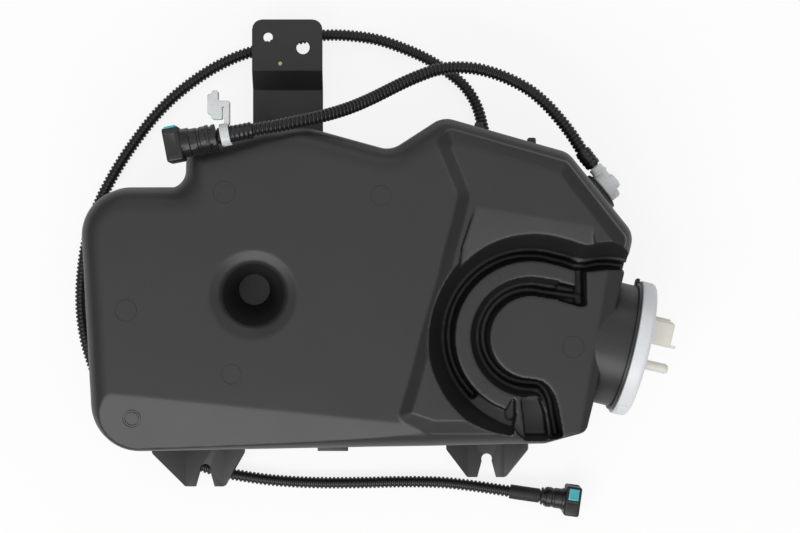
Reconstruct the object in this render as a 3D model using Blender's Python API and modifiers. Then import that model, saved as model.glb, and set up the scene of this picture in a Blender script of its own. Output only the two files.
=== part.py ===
"""Additive tank for a diesel particulate filter, lying on its back with the front face up.

The shell is one blow moulding. Its two halves meet at the parting plane, and the front half
carries the kiss-off cone, the C-shaped double channel round the pump boss, and the neck.
Pressed steel brackets are screwed to the back. The dosing pump hangs from a flange in the neck
under a lock ring. A fill hose and a vent hose, each with a quick connector, lie beside it.
Units are metres. +Z is up from the table, and X and Y are the long and short sides in plan.
"""

import math

import bmesh
import bpy
from mathutils import Matrix, Vector

mm = 0.001

# General clearances
GAP = 0.3 * mm          # between pieces that touch
SLIDE_GAP = 0.3 * mm    # round a sliding button

# Shell, heights above the table
BACK_Z = 12 * mm
PART_Z = 58 * mm
FRONT_Z = 105 * mm
MESA_RISE = 5.5 * mm
WALL = 3 * mm
DRAFT = 1.5 * mm        # how far the side walls stand out at the parting plane
FRONT_ROUND = 16 * mm
BACK_ROUND = 25 * mm

# Plan outline where the side walls meet their roundings: corner x, corner y, fillet radius
OUTLINE = [
    (-193.3, -117.2, 31), (91.3, -111.8, 12), (117.6, -104.5, 7), (147.6, 20.6, 14),
    (106.1, 72.0, 14), (27.2, 94.5, 14), (-5.7, 73.3, 14), (-59.4, 88.1, 39),
    (-87.2, 85.9, 58), (-134.9, 73.6, 8), (-135.2, 49.6, 11), (-202.4, 49.4, 30),
]

# Raised field right of the main face: foot of its slope
MESA_FOOT = [
    (22, 76), (35, 44), (32.5, 33), (26, 9), (22, -8), (12.5, -40), (5, -70), (-3, -96),
    (20, -104), (112, -104), (124, -70), (141, 18), (104, 65), (30, 86),
]
MESA_SLOPE = 8.5 * mm

# Cone dimple between the two walls
CONE_LIP = (-91.5 * mm, -17.7 * mm)
CONE_FLOOR = (-95.0 * mm, -14.5 * mm)
CONE_LIP_R = 28 * mm
CONE_THROAT_R = 19 * mm
CONE_FLOOR_R = 6.4 * mm
CONE_THROAT_Z = FRONT_Z - 5 * mm
CONE_FLOOR_Z = 48 * mm

# Double channel, concentric about the boss, with a narrow ledge half way up each outer wall
CHANNEL_CENTRE = (82.5 * mm, -44.5 * mm)
BOSS_R = 25.8 * mm
INNER_CHANNEL_W = 7.2 * mm      # from the boss to the inner ledge
INNER_LEAN_W = 5.0 * mm         # ledge and leaning wall beyond it
RIDGE_W = 9.8 * mm
OUTER_CHANNEL_W = 7.0 * mm      # from the ridge to the outer ledge
OUTER_LEAN_W = 8.7 * mm
INNER_LEDGE_R = BOSS_R + INNER_CHANNEL_W
RIDGE_INNER_R = INNER_LEDGE_R + INNER_LEAN_W
RIDGE_OUTER_R = RIDGE_INNER_R + RIDGE_W
OUTER_LEDGE_R = RIDGE_OUTER_R + OUTER_CHANNEL_W
RIM_R = OUTER_LEDGE_R + OUTER_LEAN_W
LEDGE_W = 1.8 * mm
PLATEAU_Z = 95 * mm
LEDGE_Z = 84 * mm
POCKET_Z = 80 * mm
OUTER_FLOOR_Z = 70 * mm
INNER_FLOOR_Z = 72 * mm
WALL_FLARE = 1.2 * mm   # lean of the steep channel walls

# Neck and pump module
NECK_CENTRE = Vector((146.2, -52.0, 58.0)) * mm   # centre of the neck's shoulder
NECK_ANGLE = math.radians(-13.5)
NECK_R = 40 * mm
NECK_WALL = 5 * mm
NECK_TAPER = 3.5 * mm   # how much the neck narrows towards its root
NECK_LENGTH = 26 * mm
STUB_WALL = 2.5 * mm
STUB_LENGTH = 4 * mm
BEAD_PROUD = 2 * mm
BEAD_H = 2 * mm
BEAD_LUG_W = 8 * mm
BEAD_LUG_PROUD = 3 * mm
BEAD_LUG_ANGLE = math.radians(-97)
SEAL_H = 1.2 * mm
FLANGE_H = 2 * mm
SKIRT_DEPTH = 18 * mm
SKIRT_WALL = 2 * mm
LIP_H = 1.8 * mm
LIP_REACH = 1.5 * mm    # how far the ring's lip covers the bore
RING_WALL = 6.5 * mm
BORE_R = NECK_R - NECK_WALL
STUB_R = BORE_R + STUB_WALL
BEAD_R = NECK_R + BEAD_PROUD
RING_R = STUB_R + RING_WALL
PORT_R = 3.2 * mm
PORT_Y = 8.2 * mm
PORT_LENGTH = 20.5 * mm
PLUG_Y = -14 * mm
PLUG_W = 15.4 * mm
PLUG_D = 12 * mm
PLUG_LENGTH = 18 * mm
PLUG_WALL = 1.5 * mm
PIN_W = 0.8 * mm
PIN_LENGTH = 9 * mm
PUMP_R = 10.5 * mm
PUMP_LENGTH = 42 * mm
PUMP_INSET = 4 * mm     # room for the tube at the pump's front
STRAINER_LENGTH = 6 * mm
POT_TOP = 8 * mm        # the pot stays under the channel floors
POT_W = 38 * mm
POT_WALL = 1.8 * mm
POT_END_GAP = 2 * mm    # behind the strainer
POT_FIT = 1.2 * mm      # between the pot's corners and the bore
TUBE_R = 2.2 * mm

# Pressed brackets
SHEET = 2.5 * mm
SEAT_Z = BACK_Z - GAP - SHEET     # underside of a bracket on the shell's back
STRAP_X = (-99.6 * mm, -52.2 * mm)
STRAP_TOP = 166.3 * mm
STRAP_RISE = 8 * mm
STRAP_ROUND = 6.8 * mm
STRAP_BENDS = (132.5 * mm, 120.2 * mm)
STRAP_END = 50 * mm
BOLT_HOLE = (-65.3 * mm, 147.4 * mm, 4.5 * mm)
PEG_HOLE = (-88.8 * mm, 154.3 * mm, 3.2 * mm)
FOOT_BEND = math.radians(20)
FOOT_END = -76          # end of each foot under the tank, in millimetres
SLOT_R = 3.65 * mm

# Screws
SCREW_R = 2.5 * mm
SCREW_HEAD_R = 5.5 * mm
SCREW_HEAD_H = 3 * mm
SCREW_LENGTH = 14 * mm
SCREW_BOSS_R = 6.5 * mm

# Hoses and their ends
HOSE_R = 4.0 * mm
HOSE_LEAD = 11 * mm     # straight run of a hose next to its fitting
TAPE_R = 5.2 * mm
SLEEVE_R = 4.9 * mm
VALVE_TAPE = 12 * mm
QC_TAPE = 21 * mm
VENT_SLEEVE = 20 * mm
FILL_STEP = 13 * mm     # spacing of a hose's points
VENT_STEP = 17 * mm

# Fill valve, on a low round seat that stands out of the nearest side wall
VALVE_AT = (128.5 * mm, 47.3 * mm)
VALVE_SEAT_H = 2.2 * mm
VALVE_R = 9.7 * mm
VALVE_KNOB_R = 5.2 * mm
VALVE_ARM_R = 4.6 * mm
VALVE_ARM_OUT = 7.6 * mm
VALVE_ARM_LENGTH = 14.5 * mm
GROMMET_R = 13 * mm
GROMMET_H = 1.6 * mm
GROMMET_HOLE_R = 7.5 * mm

# Vent elbow in its recess at the back
VENT_AT = Vector((68.0, 62.0, 24.0)) * mm
VENT_HOLE_R = 6 * mm
VENT_PIPE_R = 3.6 * mm
VENT_AXIS_Z = 9.5 * mm
VENT_REACH = 15 * mm
VENT_ANGLE = math.radians(112)

# Quick connectors, from the mouth back: head, collar, barrel and tail
FILL_QC = {"across": 18.5 * mm, "deep": 21.4 * mm, "head": 10.6 * mm, "collar_r": 9.0 * mm,
           "collar": 5 * mm, "barrel_r": 8.1 * mm, "barrel": 10 * mm, "tail_r": 8.5 * mm,
           "tail": 6.2 * mm, "pipe_r": 4.9 * mm}
VENT_QC = {"across": 20.1 * mm, "deep": 17.6 * mm, "head": 10.6 * mm, "collar_r": 7.4 * mm,
           "collar": 2 * mm, "barrel_r": 6.8 * mm, "barrel": 10.4 * mm, "tail_r": 6.3 * mm,
           "tail": 3.4 * mm, "pipe_r": 4.0 * mm}
FILL_QC_MOUTH = Vector((-145.0, 74.2, 109.6)) * mm
FILL_QC_ANGLE = math.radians(191)
VENT_QC_MOUTH = Vector((121.8, -159.3, 9.6)) * mm
VENT_QC_ANGLE = math.radians(-8)
BORE_END_R = 2.8 * mm
BUTTON_W = 7.6 * mm
BUTTON_OFF = 4.8 * mm
BUTTON_PROUD = 0.7 * mm
BUTTON_H = 2.2 * mm
RING_SECTION_R = 0.75 * mm
SPACER_H = 2 * mm
BUTTON_TRAVEL = 1.5 * mm

# Pipe clip on the taped end of the fill hose: plan outline of its arms
CLIP_OUTLINE = [
    (-116.6, 91.0), (-109.8, 91.0), (-109.8, 98.9), (-108.7, 98.9), (-108.7, 87.4), (-105.4, 87.4),
    (-105.4, 102.5), (-112.4, 102.5), (-112.4, 108.8), (-116.3, 108.8), (-116.3, 106.6),
    (-119.0, 106.6), (-119.0, 94.0), (-116.6, 94.0),
]
CLIP_H = 7 * mm
CLIP_AT = 3 * mm        # from the connector's tail
CLIP_WIDTH = 5.5 * mm
CLIP_WALL = 1.9 * mm

# Routes of the two hoses, read as smooth curves
FILL_ROUTE = [
    (110.5, 88.0, 54.0), (98.2, 103.5, 51.0), (85.8, 114.9, 49.0),
    (73.3, 122.1, 48.0), (60.9, 127.0, 48.0), (48.4, 129.8, 49.0), (36.0, 130.2, 50.5),
    (23.5, 128.2, 53.5), (10.8, 123.2, 58.0), (-2.0, 116.8, 64.0), (-14.2, 109.8, 71.5),
    (-26.3, 103.4, 79.5), (-38.0, 98.3, 87.5), (-50.0, 94.3, 94.5), (-62.0, 91.2, 99.8),
    (-75.0, 88.0, 103.8), (-88.0, 85.5, 106.8),
]
VENT_ROUTE = [
    (57.3, 95.1, 6.8), (53.2, 107.0, 5.0), (47.7, 117.6, 4.4), (40.2, 126.5, 4.4),
    (24.5, 138.0, 4.4), (11.2, 144.9, 4.4), (-2.0, 150.3, 4.4), (-15.0, 154.4, 4.4),
    (-40.9, 157.8, 4.4), (-66.1, 155.8, 4.4), (-89.3, 149.8, 4.4), (-114.5, 141.5, 4.4),
    (-140.4, 126.5, 4.4), (-166.3, 103.3, 4.4), (-192.9, 66.5, 4.4), (-210.0, 30.3, 4.4),
    (-216.8, -6.5, 4.4), (-216.3, -38.9, 4.4), (-208.9, -68.2, 4.4), (-195.0, -98.0, 4.4),
    (-165.0, -121.5, 4.4), (-132.9, -136.7, 4.4), (-101.6, -143.7, 4.4), (-68.9, -146.9, 4.4),
    (-34.0, -147.4, 4.4), (2.7, -146.7, 4.4), (31.4, -147.4, 4.4), (60.0, -150.8, 6.2),
]

SIDES = 32              # facets of a large round
SMALL_SIDES = 16
CORNER_STEP = math.radians(23)
FLAT_LIMIT = 0.6        # degrees between faces that count as one flat


# Scene and materials

def clear_scene():
    """Remove everything, so the file builds the same from any start."""
    for item in list(bpy.data.objects):
        bpy.data.objects.remove(item, do_unlink=True)


def new_collection(name):
    """Make and link one collection."""
    group = bpy.data.collections.new(name)
    bpy.context.scene.collection.children.link(group)
    return group


def material(name, colour, roughness, metallic=0.0):
    """One Principled material."""
    mat = bpy.data.materials.new(name)
    mat.use_nodes = True
    shader = mat.node_tree.nodes["Principled BSDF"]
    shader.inputs["Base Color"].default_value = (*colour, 1.0)
    shader.inputs["Roughness"].default_value = roughness
    shader.inputs["Metallic"].default_value = metallic
    return mat


clear_scene()
PARTS = new_collection("additive_tank")
CUTTERS = new_collection("additive_tank_cutters")
SHELL_BLACK = material("moulded_polyethylene", (0.058, 0.056, 0.058), 0.5)
STEEL_BLACK = material("coated_steel", (0.038, 0.036, 0.038), 0.42, 0.2)
SCREW_ZINC = material("zinc_screw", (0.55, 0.56, 0.58), 0.35, 1.0)
NYLON_WHITE = material("white_nylon", (0.78, 0.79, 0.80), 0.4)
NYLON_IVORY = material("ivory_nylon", (0.80, 0.76, 0.66), 0.4)
NYLON_BLACK = material("black_nylon", (0.02, 0.02, 0.022), 0.4)
TEAL = material("teal_button", (0.08, 0.43, 0.48), 0.35)
RUBBER = material("black_rubber", (0.015, 0.015, 0.016), 0.6)
HOSE_BLACK = material("hose_black", (0.014, 0.014, 0.015), 0.45)
PUMP_STEEL = material("pump_steel", (0.5, 0.5, 0.5), 0.3, 1.0)
MESH_WHITE = material("strainer_mesh", (0.7, 0.7, 0.68), 0.7)
BRASS = material("tinned_brass", (0.8, 0.72, 0.5), 0.3, 1.0)


# Mesh helpers

def object_from_bmesh(name, mesh_data, frame=None):
    """Close off a bmesh as an object of triangles with its faces pointing out."""
    bmesh.ops.recalc_face_normals(mesh_data, faces=mesh_data.faces)
    bmesh.ops.triangulate(mesh_data, faces=mesh_data.faces)
    mesh = bpy.data.meshes.new(name)
    mesh_data.to_mesh(mesh)
    mesh_data.free()
    item = bpy.data.objects.new(name, mesh)
    if frame is not None:
        item.matrix_world = frame
    return item


def as_part(item, mat, smooth=True):
    """Put an object among the parts with its own material."""
    item.data.materials.clear()
    item.data.materials.append(mat)
    if smooth:
        item.data.shade_smooth()
        item.data.set_sharp_from_angle(angle=math.radians(35))
    if item.modifiers:
        flats = item.modifiers.new("merge_flats", "DECIMATE")
        flats.decimate_type = "DISSOLVE"
        flats.angle_limit = math.radians(FLAT_LIMIT)
    PARTS.objects.link(item)
    return item


def as_cutter(item):
    """Put an object among the cutters, drawn as wire and left out of renders."""
    item.hide_render = True
    item.display_type = "WIRE"
    CUTTERS.objects.link(item)
    return item


def combine(target, tool, operation="DIFFERENCE"):
    """Cut with, or add, another object by an exact Boolean."""
    if not tool.users_collection:
        as_cutter(tool)
    step = target.modifiers.new(tool.name, "BOOLEAN")
    step.operation = operation
    step.solver = "EXACT"
    step.object = tool
    return target


def loft(name, rings, frame=None):
    """Skin a stack of closed rings that hold the same number of points, with flat ends."""
    mesh_data = bmesh.new()
    rows = [[mesh_data.verts.new(point) for point in ring] for ring in rings]
    count = len(rings[0])
    for lower, upper in zip(rows, rows[1:]):
        for i in range(count):
            j = (i + 1) % count
            mesh_data.faces.new((lower[i], lower[j], upper[j], upper[i]))
    mesh_data.faces.new(rows[0][::-1])
    mesh_data.faces.new(rows[-1])
    return object_from_bmesh(name, mesh_data, frame)


def block(name, low, high, frame=None, bevel=0.0):
    """A box between two corners."""
    low, high = Vector(low), Vector(high)
    mesh_data = bmesh.new()
    bmesh.ops.create_cube(mesh_data, size=1.0)
    bmesh.ops.scale(mesh_data, vec=high - low, verts=mesh_data.verts)
    bmesh.ops.translate(mesh_data, vec=(low + high) / 2, verts=mesh_data.verts)
    if bevel:
        bmesh.ops.bevel(mesh_data, geom=mesh_data.edges[:], offset=bevel, segments=1,
                        affect="EDGES", profile=0.5)
    return object_from_bmesh(name, mesh_data, frame)


def rod(name, start, end, radius, end_radius=None, sides=SMALL_SIDES, frame=None):
    """A straight cylinder or cone between two points."""
    start, end = Vector(start), Vector(end)
    along = end - start
    mesh_data = bmesh.new()
    bmesh.ops.create_cone(mesh_data, cap_ends=True, segments=sides, radius1=radius,
                          radius2=radius if end_radius is None else end_radius,
                          depth=along.length)
    turn = along.to_track_quat("Z", "Y").to_matrix().to_4x4()
    bmesh.ops.transform(mesh_data, matrix=Matrix.Translation((start + end) / 2) @ turn,
                        verts=mesh_data.verts)
    return object_from_bmesh(name, mesh_data, frame)


def turned(name, profile, frame=None, sides=SIDES, closed=True):
    """Turn an (r, z) profile about the local Z axis with a Screw modifier."""
    mesh = bpy.data.meshes.new(name)
    points = [(r, 0.0, z) for r, z in profile]
    edges = [(i, i + 1) for i in range(len(points) - 1)]
    if closed:
        edges.append((len(points) - 1, 0))
    mesh.from_pydata(points, edges, [])
    item = bpy.data.objects.new(name, mesh)
    screw = item.modifiers.new("turn", "SCREW")
    screw.steps = sides
    screw.render_steps = sides
    screw.use_merge_vertices = True
    screw.merge_threshold = 0.00002
    return solid_of(item, frame)


def solid_of(item, frame=None):
    """Read an object as evaluated, weld it and return it as a plain mesh object."""
    scene = bpy.context.scene.collection
    scene.objects.link(item)
    bpy.context.view_layer.update()
    graph = bpy.context.evaluated_depsgraph_get()
    mesh = bpy.data.meshes.new_from_object(item.evaluated_get(graph))
    name = item.name
    place = item.matrix_world.copy() if frame is None else frame
    bpy.data.objects.remove(item, do_unlink=True)
    mesh_data = bmesh.new()
    mesh_data.from_mesh(mesh)
    bpy.data.meshes.remove(mesh)
    bmesh.ops.remove_doubles(mesh_data, verts=mesh_data.verts, dist=0.00001)
    return object_from_bmesh(name, mesh_data, place)


def tube_along(name, points, radius, bevel_resolution=2):
    """A round cord through points, as a filled poly curve read as a mesh."""
    curve = bpy.data.curves.new(name, "CURVE")
    curve.dimensions = "3D"
    curve.bevel_depth = radius
    curve.bevel_resolution = bevel_resolution
    curve.use_fill_caps = True
    spline = curve.splines.new("POLY")
    spline.points.add(len(points) - 1)
    for knot, point in zip(spline.points, points):
        knot.co = (*point, 1.0)
    return solid_of(bpy.data.objects.new(name, curve))


def smooth_route(knots, spacing):
    """Sample a centripetal-like Catmull-Rom curve through the knots at an even spacing."""
    knots = [Vector(k) for k in knots]
    padded = [2 * knots[0] - knots[1], *knots, 2 * knots[-1] - knots[-2]]
    fine = []
    for a, b, c, d in zip(padded, padded[1:], padded[2:], padded[3:]):
        for step in range(12):
            t = step / 12
            fine.append(0.5 * (2 * b + (c - a) * t + (2 * a - 5 * b + 4 * c - d) * t * t
                               + (3 * b - 3 * c + d - a) * t ** 3))
    fine.append(knots[-1])
    total = sum((q - p).length for p, q in zip(fine, fine[1:]))
    count = max(3, round(total / spacing))
    picked, walked, target = [fine[0]], 0.0, total / count
    for p, q in zip(fine, fine[1:]):
        length = (q - p).length
        while walked + length >= target and len(picked) < count:
            picked.append(p.lerp(q, (target - walked) / length))
            target += total / count
        walked += length
    picked.append(fine[-1])
    return picked


def circle(centre, radius, z, sides=SIDES):
    """Points of a level circle."""
    return [Vector((centre[0] + radius * math.cos(math.tau * i / sides),
                    centre[1] + radius * math.sin(math.tau * i / sides), z))
            for i in range(sides)]


def between_facets(frame, sides):
    """Turn a cutter's frame by half a facet, so its edges cross none of a round cap's spokes."""
    return frame @ Matrix.Rotation(math.pi / sides, 4, "Z")


def axis_frame(origin, along, up=(0, 0, 1)):
    """A frame with local Z along a direction and local X as near to up as it can be."""
    z = Vector(along).normalized()
    x = (Vector(up) - Vector(up).dot(z) * z).normalized()
    y = z.cross(x)
    turn = Matrix((x, y, z)).transposed().to_4x4()
    return Matrix.Translation(Vector(origin)) @ turn


def in_plane(angle):
    """Unit direction in the table plane."""
    return Vector((math.cos(angle), math.sin(angle), 0.0))


def rounded_outline(corners, inset=0.0, unit=mm):
    """Fillet a closed polygon of (x, y, radius) corners after moving each side inwards.

    Outer corners lose the inset from their radius and inner corners gain it, and every
    inset gives the same number of points, so the outlines can be lofted.
    """
    points = [Vector((x * unit, y * unit)) for x, y, _ in corners]
    count = len(points)
    sides = []
    for i in range(count):
        along = (points[(i + 1) % count] - points[i]).normalized()
        inward = Vector((-along.y, along.x))
        sides.append((points[i] + inward * inset, along))
    moved = []
    for i in range(count):
        (p, u), (q, v) = sides[i - 1], sides[i]
        cross = u.x * v.y - u.y * v.x
        moved.append(p + u * (((q - p).x * v.y - (q - p).y * v.x) / cross))
    outline = []
    for i in range(count):
        u, v = sides[i - 1][1], sides[i][1]
        turn = math.atan2(u.x * v.y - u.y * v.x, u.dot(v))
        reach = min((moved[i] - moved[i - 1]).length, (moved[(i + 1) % count] - moved[i]).length)
        radius = corners[i][2] * unit - math.copysign(inset, turn)
        radius = max(radius, 0.8 * mm)
        radius = min(radius, 0.47 * reach / math.tan(abs(turn) / 2))
        start = moved[i] - u * radius * math.tan(abs(turn) / 2)
        side = math.copysign(1.0, turn)
        centre = start + Vector((-u.y, u.x)) * side * radius
        fine = corners[i][2] * unit < 1 * mm
        steps = 1 if fine else max(1, math.ceil(abs(turn) / CORNER_STEP))
        for step in range(steps + 1):
            swing = turn * step / steps
            arm = start - centre
            outline.append(centre + Vector((arm.x * math.cos(swing) - arm.y * math.sin(swing),
                                            arm.x * math.sin(swing) + arm.y * math.cos(swing))))
    return outline


def level(outline, z):
    """Lift a plan outline to a height."""
    return [Vector((p.x, p.y, z)) for p in outline]


# Shell

def shell_body(name, wall=0.0):
    """Loft the moulding's outside, or its inside one wall further in."""
    levels = []
    steps = 2 if wall else 4
    back_round, front_round = BACK_ROUND - wall, FRONT_ROUND - wall
    for step in range(steps + 1):
        swing = math.pi / 2 * step / steps
        levels.append((BACK_Z + wall + back_round * (1 - math.sin(swing)),
                       wall + back_round * (1 - math.cos(swing))))
    levels = levels[::-1]
    levels.append((PART_Z, wall - DRAFT))
    for step in range(steps + 1):
        swing = math.pi / 2 * step / steps
        levels.append((FRONT_Z - wall - front_round * (1 - math.sin(swing)),
                       wall + front_round * (1 - math.cos(swing))))
    return loft(name, [level(rounded_outline(OUTLINE, inset), z) for z, inset in levels])


def mesa(name, wall=0.0):
    """Raised field that carries the channel, sloping up from the main face."""
    corners = [(x, y, 6) for x, y in MESA_FOOT]
    foot = rounded_outline(corners, wall - 2 * mm)
    edge = rounded_outline(corners, wall)
    top = rounded_outline(corners, wall + MESA_SLOPE)
    return loft(name, [level(foot, FRONT_Z - 12 * mm), level(edge, FRONT_Z - 0.4 * mm - wall),
                       level(top, FRONT_Z + MESA_RISE - wall)])


def arc_path(radius, start, stop, step):
    """Points of an arc about the channel's centre."""
    count = max(2, round(abs(stop - start) / step))
    angles = [start + (stop - start) * i / count for i in range(count + 1)]
    return [Vector((CHANNEL_CENTRE[0] + radius * math.cos(a),
                    CHANNEL_CENTRE[1] + radius * math.sin(a))) for a in angles]


def groove(name, path, floor_z, left, right, grow=0.0, lifts=None, fades=None):
    """Sweep a flat-floored, flared section along a plan path, up through the front face.

    Left and right each give the floor's reach on that side of the path and its reach at the
    front face. The floor may be lifted at each point, and then it widens as the leaning walls
    do, and the lean may fade at each point.
    """
    top_z = FRONT_Z + MESA_RISE + 4 * mm
    lifts = lifts or [0.0] * len(path)
    fades = fades or [1.0] * len(path)
    rings = []
    for i, point in enumerate(path):
        ahead = path[min(i + 1, len(path) - 1)] - path[max(i - 1, 0)]
        side = Vector((-ahead.y, ahead.x)).normalized()

        def reach(pair, height):
            lean = (pair[1] - pair[0]) / (FRONT_Z - floor_z)
            return pair[0] + grow + fades[i] * lean * height

        low, high = lifts[i], top_z - floor_z
        rings.append([
            (*(point + side * reach(left, high)), top_z),
            (*(point + side * reach(left, low)), floor_z + low - grow),
            (*(point - side * reach(right, low)), floor_z + low - grow),
            (*(point - side * reach(right, high)), top_z)])
    return loft(name, rings)


def stretched(path, grow):
    """Lengthen a path at both ends."""
    first = (path[0] - path[1]).normalized()
    last = (path[-1] - path[-2]).normalized()
    return [path[0] + first * grow, *path[1:-1], path[-1] + last * grow]


def staggered(values):
    """Halfway values between neighbours, so that stacked cuts share no cross edges."""
    return [values[0], *[(a + b) / 2 for a, b in zip(values, values[1:])], values[-1]]


def plan_corners(plan, radius):
    """Plan points as fillet corners, taken anticlockwise."""
    area = sum(a.x * b.y - a.y * b.x for a, b in zip(plan, plan[1:] + plan[:1]))
    ordered = plan if area > 0 else plan[::-1]
    return [(p.x, p.y, radius) for p in ordered]


def sloped_cut(name, plan, height_at, grow=0.0):
    """Cut away all that lies above a level or sloped plane, within a plan outline."""
    outline = rounded_outline(plan_corners(plan, 1 * mm), -grow, 1.0)
    low = [Vector((p.x, p.y, height_at(p.x, p.y))) for p in outline]
    return loft(name, [low, level(outline, FRONT_Z + 25 * mm)])


def plane_past(start, end, z, slope):
    """Height of a plane that falls away to the right of a crease seen from its start."""
    along = (Vector(end) - Vector(start)).normalized()
    right = Vector((along.y, -along.x))
    return lambda x, y: z - slope * (Vector((x, y)) - Vector(start)).dot(right)


def in_mm(points):
    """Scale a list of plan points from millimetres."""
    return [Vector(p) * mm for p in points]


OUTER_MID_R = (RIDGE_OUTER_R + WALL_FLARE + OUTER_LEDGE_R) / 2
INNER_MID_R = (BOSS_R + WALL_FLARE + INNER_LEDGE_R) / 2
LEDGE_END = math.radians(228)     # lower end of the outer ledge
RAMP_END = math.radians(259)      # upper end of the ramp past it
RAMP_CLIMB = PLATEAU_Z - LEDGE_Z - 2 * mm
STEP_BACK = 0.5 * mm              # of a deep cut's wall from the shallow cut's above it


def arc_step(grow):
    """Facet angle of the channel's arcs, coarser on the inside of the moulding."""
    return math.radians(20 if grow else 12)


def outer_groove_path(step):
    """Run of the outer channel: round the boss, then out through the right wall."""
    tail = in_mm([(105.5, 3.3), (112.5, 0.3), (119.0, 0.5), (126.5, 2.0), (134.0, 2.0),
                  (142.0, 0.8), (158.0, -4.0)])
    return arc_path(OUTER_MID_R, LEDGE_END, math.radians(72), step) + tail


def inner_groove_path(head, step):
    """Run of the inner channel: from its head round the boss and down beside the fin."""
    tail = in_mm([(88.5, -75.2), (92.6, -79.5), (95.0, -85.0), (96.3, -92.0), (97.8, -100.0),
                  (99.2, -108.0)])
    turn = arc_path(INNER_MID_R, math.radians(74), math.radians(268), step)
    return in_mm(head) + turn + tail


def outer_channel_cuts(grow, tag):
    """Deep groove beside the ridge, and the wider cut above it that leaves the ledge and ramp."""
    ridge, ledge = OUTER_MID_R - RIDGE_OUTER_R, OUTER_LEDGE_R - OUTER_MID_R
    step = arc_step(grow)
    deep_path = outer_groove_path(step)
    ramp = arc_path(OUTER_MID_R, RAMP_END, LEDGE_END, step)
    lifts = [RAMP_CLIMB * (1 - i / (len(ramp) - 1)) for i in range(len(ramp) - 1)]
    lifts += [0.0] * len(deep_path)
    deep = groove("outer_groove" + tag, stretched(deep_path, grow), OUTER_FLOOR_Z,
                  (ledge - WALL_FLARE, ledge), (ridge - WALL_FLARE - STEP_BACK, ridge - STEP_BACK),
                  grow)
    wide = groove("outer_ledge" + tag, stretched(staggered(ramp[:-1] + deep_path), grow), LEDGE_Z,
                  (ledge + LEDGE_W, RIM_R - OUTER_MID_R), (ridge - WALL_FLARE / 2, ridge), grow,
                  staggered(lifts))
    return [deep, wide]


def inner_channel_cuts(grow, tag):
    """Deep groove beside the boss, and the wider cut above it that leaves the ledge."""
    boss, ledge = INNER_MID_R - BOSS_R, INNER_LEDGE_R - INNER_MID_R
    lean = (RIDGE_INNER_R - INNER_LEDGE_R - LEDGE_W) / (PLATEAU_Z - LEDGE_Z)
    at_face = ledge + LEDGE_W + lean * (FRONT_Z - LEDGE_Z)
    deep_path = inner_groove_path([(115.6, -19.0), (100.5, -17.0)], arc_step(grow))
    wide_path = inner_groove_path([(99.3, -16.8)], arc_step(grow))
    fades = [1.0] * (len(wide_path) - 6) + [0.4, 0.2, 0.1, 0.1, 0.1, 0.1]
    deep = groove("inner_groove" + tag, stretched(deep_path, grow), INNER_FLOOR_Z,
                  (boss - WALL_FLARE - STEP_BACK, boss - STEP_BACK), (ledge - WALL_FLARE, ledge),
                  grow)
    wide = groove("inner_ledge" + tag, stretched(staggered(wide_path), grow), LEDGE_Z,
                  (boss - WALL_FLARE / 2, boss), (ledge + LEDGE_W, at_face), grow, None,
                  staggered(fades))
    return [deep, wide]


def channel_cutters(grow, tag):
    """All cuts of the double channel, at the outside or grown by the wall for the inside."""
    plateau_z = PLATEAU_Z - grow
    slot_plan = in_mm([(111.2, -24.6), (116.8, -24.6), (116.4, 1.0), (111.0, 1.0)])
    slot_mouth = in_mm([(99.5, -20.8), (112.5, -24.4), (112.5, -13.6), (99.5, -10.4)])
    ridge_end = in_mm([(65.6, -92.5), (70.8, -83.4), (72.3, -83.4), (72.3, -97.0), (67.0, -97.0)])
    pocket = in_mm([(77.0, -83.0), (88.2, -83.0), (91.6, -92.0), (93.8, -107.5), (80.5, -107.5)])
    grooves = outer_channel_cuts(grow, tag) + inner_channel_cuts(grow, tag) + [
        grown_prism("cross_slot" + tag, slot_plan, INNER_FLOOR_Z + 0.6 * mm, grow),
        grown_prism("slot_mouth" + tag, slot_mouth, INNER_FLOOR_Z + 1.2 * mm, grow),
        grown_prism("ridge_end" + tag, ridge_end, LEDGE_Z + RAMP_CLIMB - 2 * mm, grow),
        grown_prism("fin_pocket" + tag, pocket, POCKET_Z, grow),
    ]
    arc = arc_path(OUTER_MID_R, math.radians(254), math.radians(72), arc_step(grow))
    rest = in_mm([(112.5, 0.3), (119.0, 0.6), (126.5, 2.1), (134.0, 2.1), (160.0, -4.0), (165.0, -90.0),
                  (131.0, -128.0), (107.5, -128.0), (106.0, -109.0), (95.0, -109.6),
                  (79.0, -109.2), (73.0, -104.0)])
    plateau = sloped_cut("plateau_cut" + tag, arc + rest, lambda x, y: plateau_z, grow)
    crease = in_mm([(131.2, -1.0), (117.6, -80.0)])
    field = in_mm([(118.2, -76.5), (113.5, -104.0), (121.0, -128.0), (170.0, -128.0), (170.0, 0.0),
                   (131.6, 1.6)])
    falling = plane_past(crease[1], crease[0], plateau_z - 0.2 * mm, 0.42)
    slope = sloped_cut("neck_slope" + tag, field, falling, grow)
    return [plateau, slope, *grooves]


def grown_prism(name, plan, floor_z, grow):
    """A slightly flared pocket cutter over a plan polygon."""
    corners = plan_corners(plan, 2 * mm)
    low = rounded_outline(corners, -grow, 1.0)
    top = rounded_outline(corners, -grow - WALL_FLARE, 1.0)
    return loft(name, [level(low, floor_z - grow), level(top, FRONT_Z + 16 * mm)])


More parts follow.
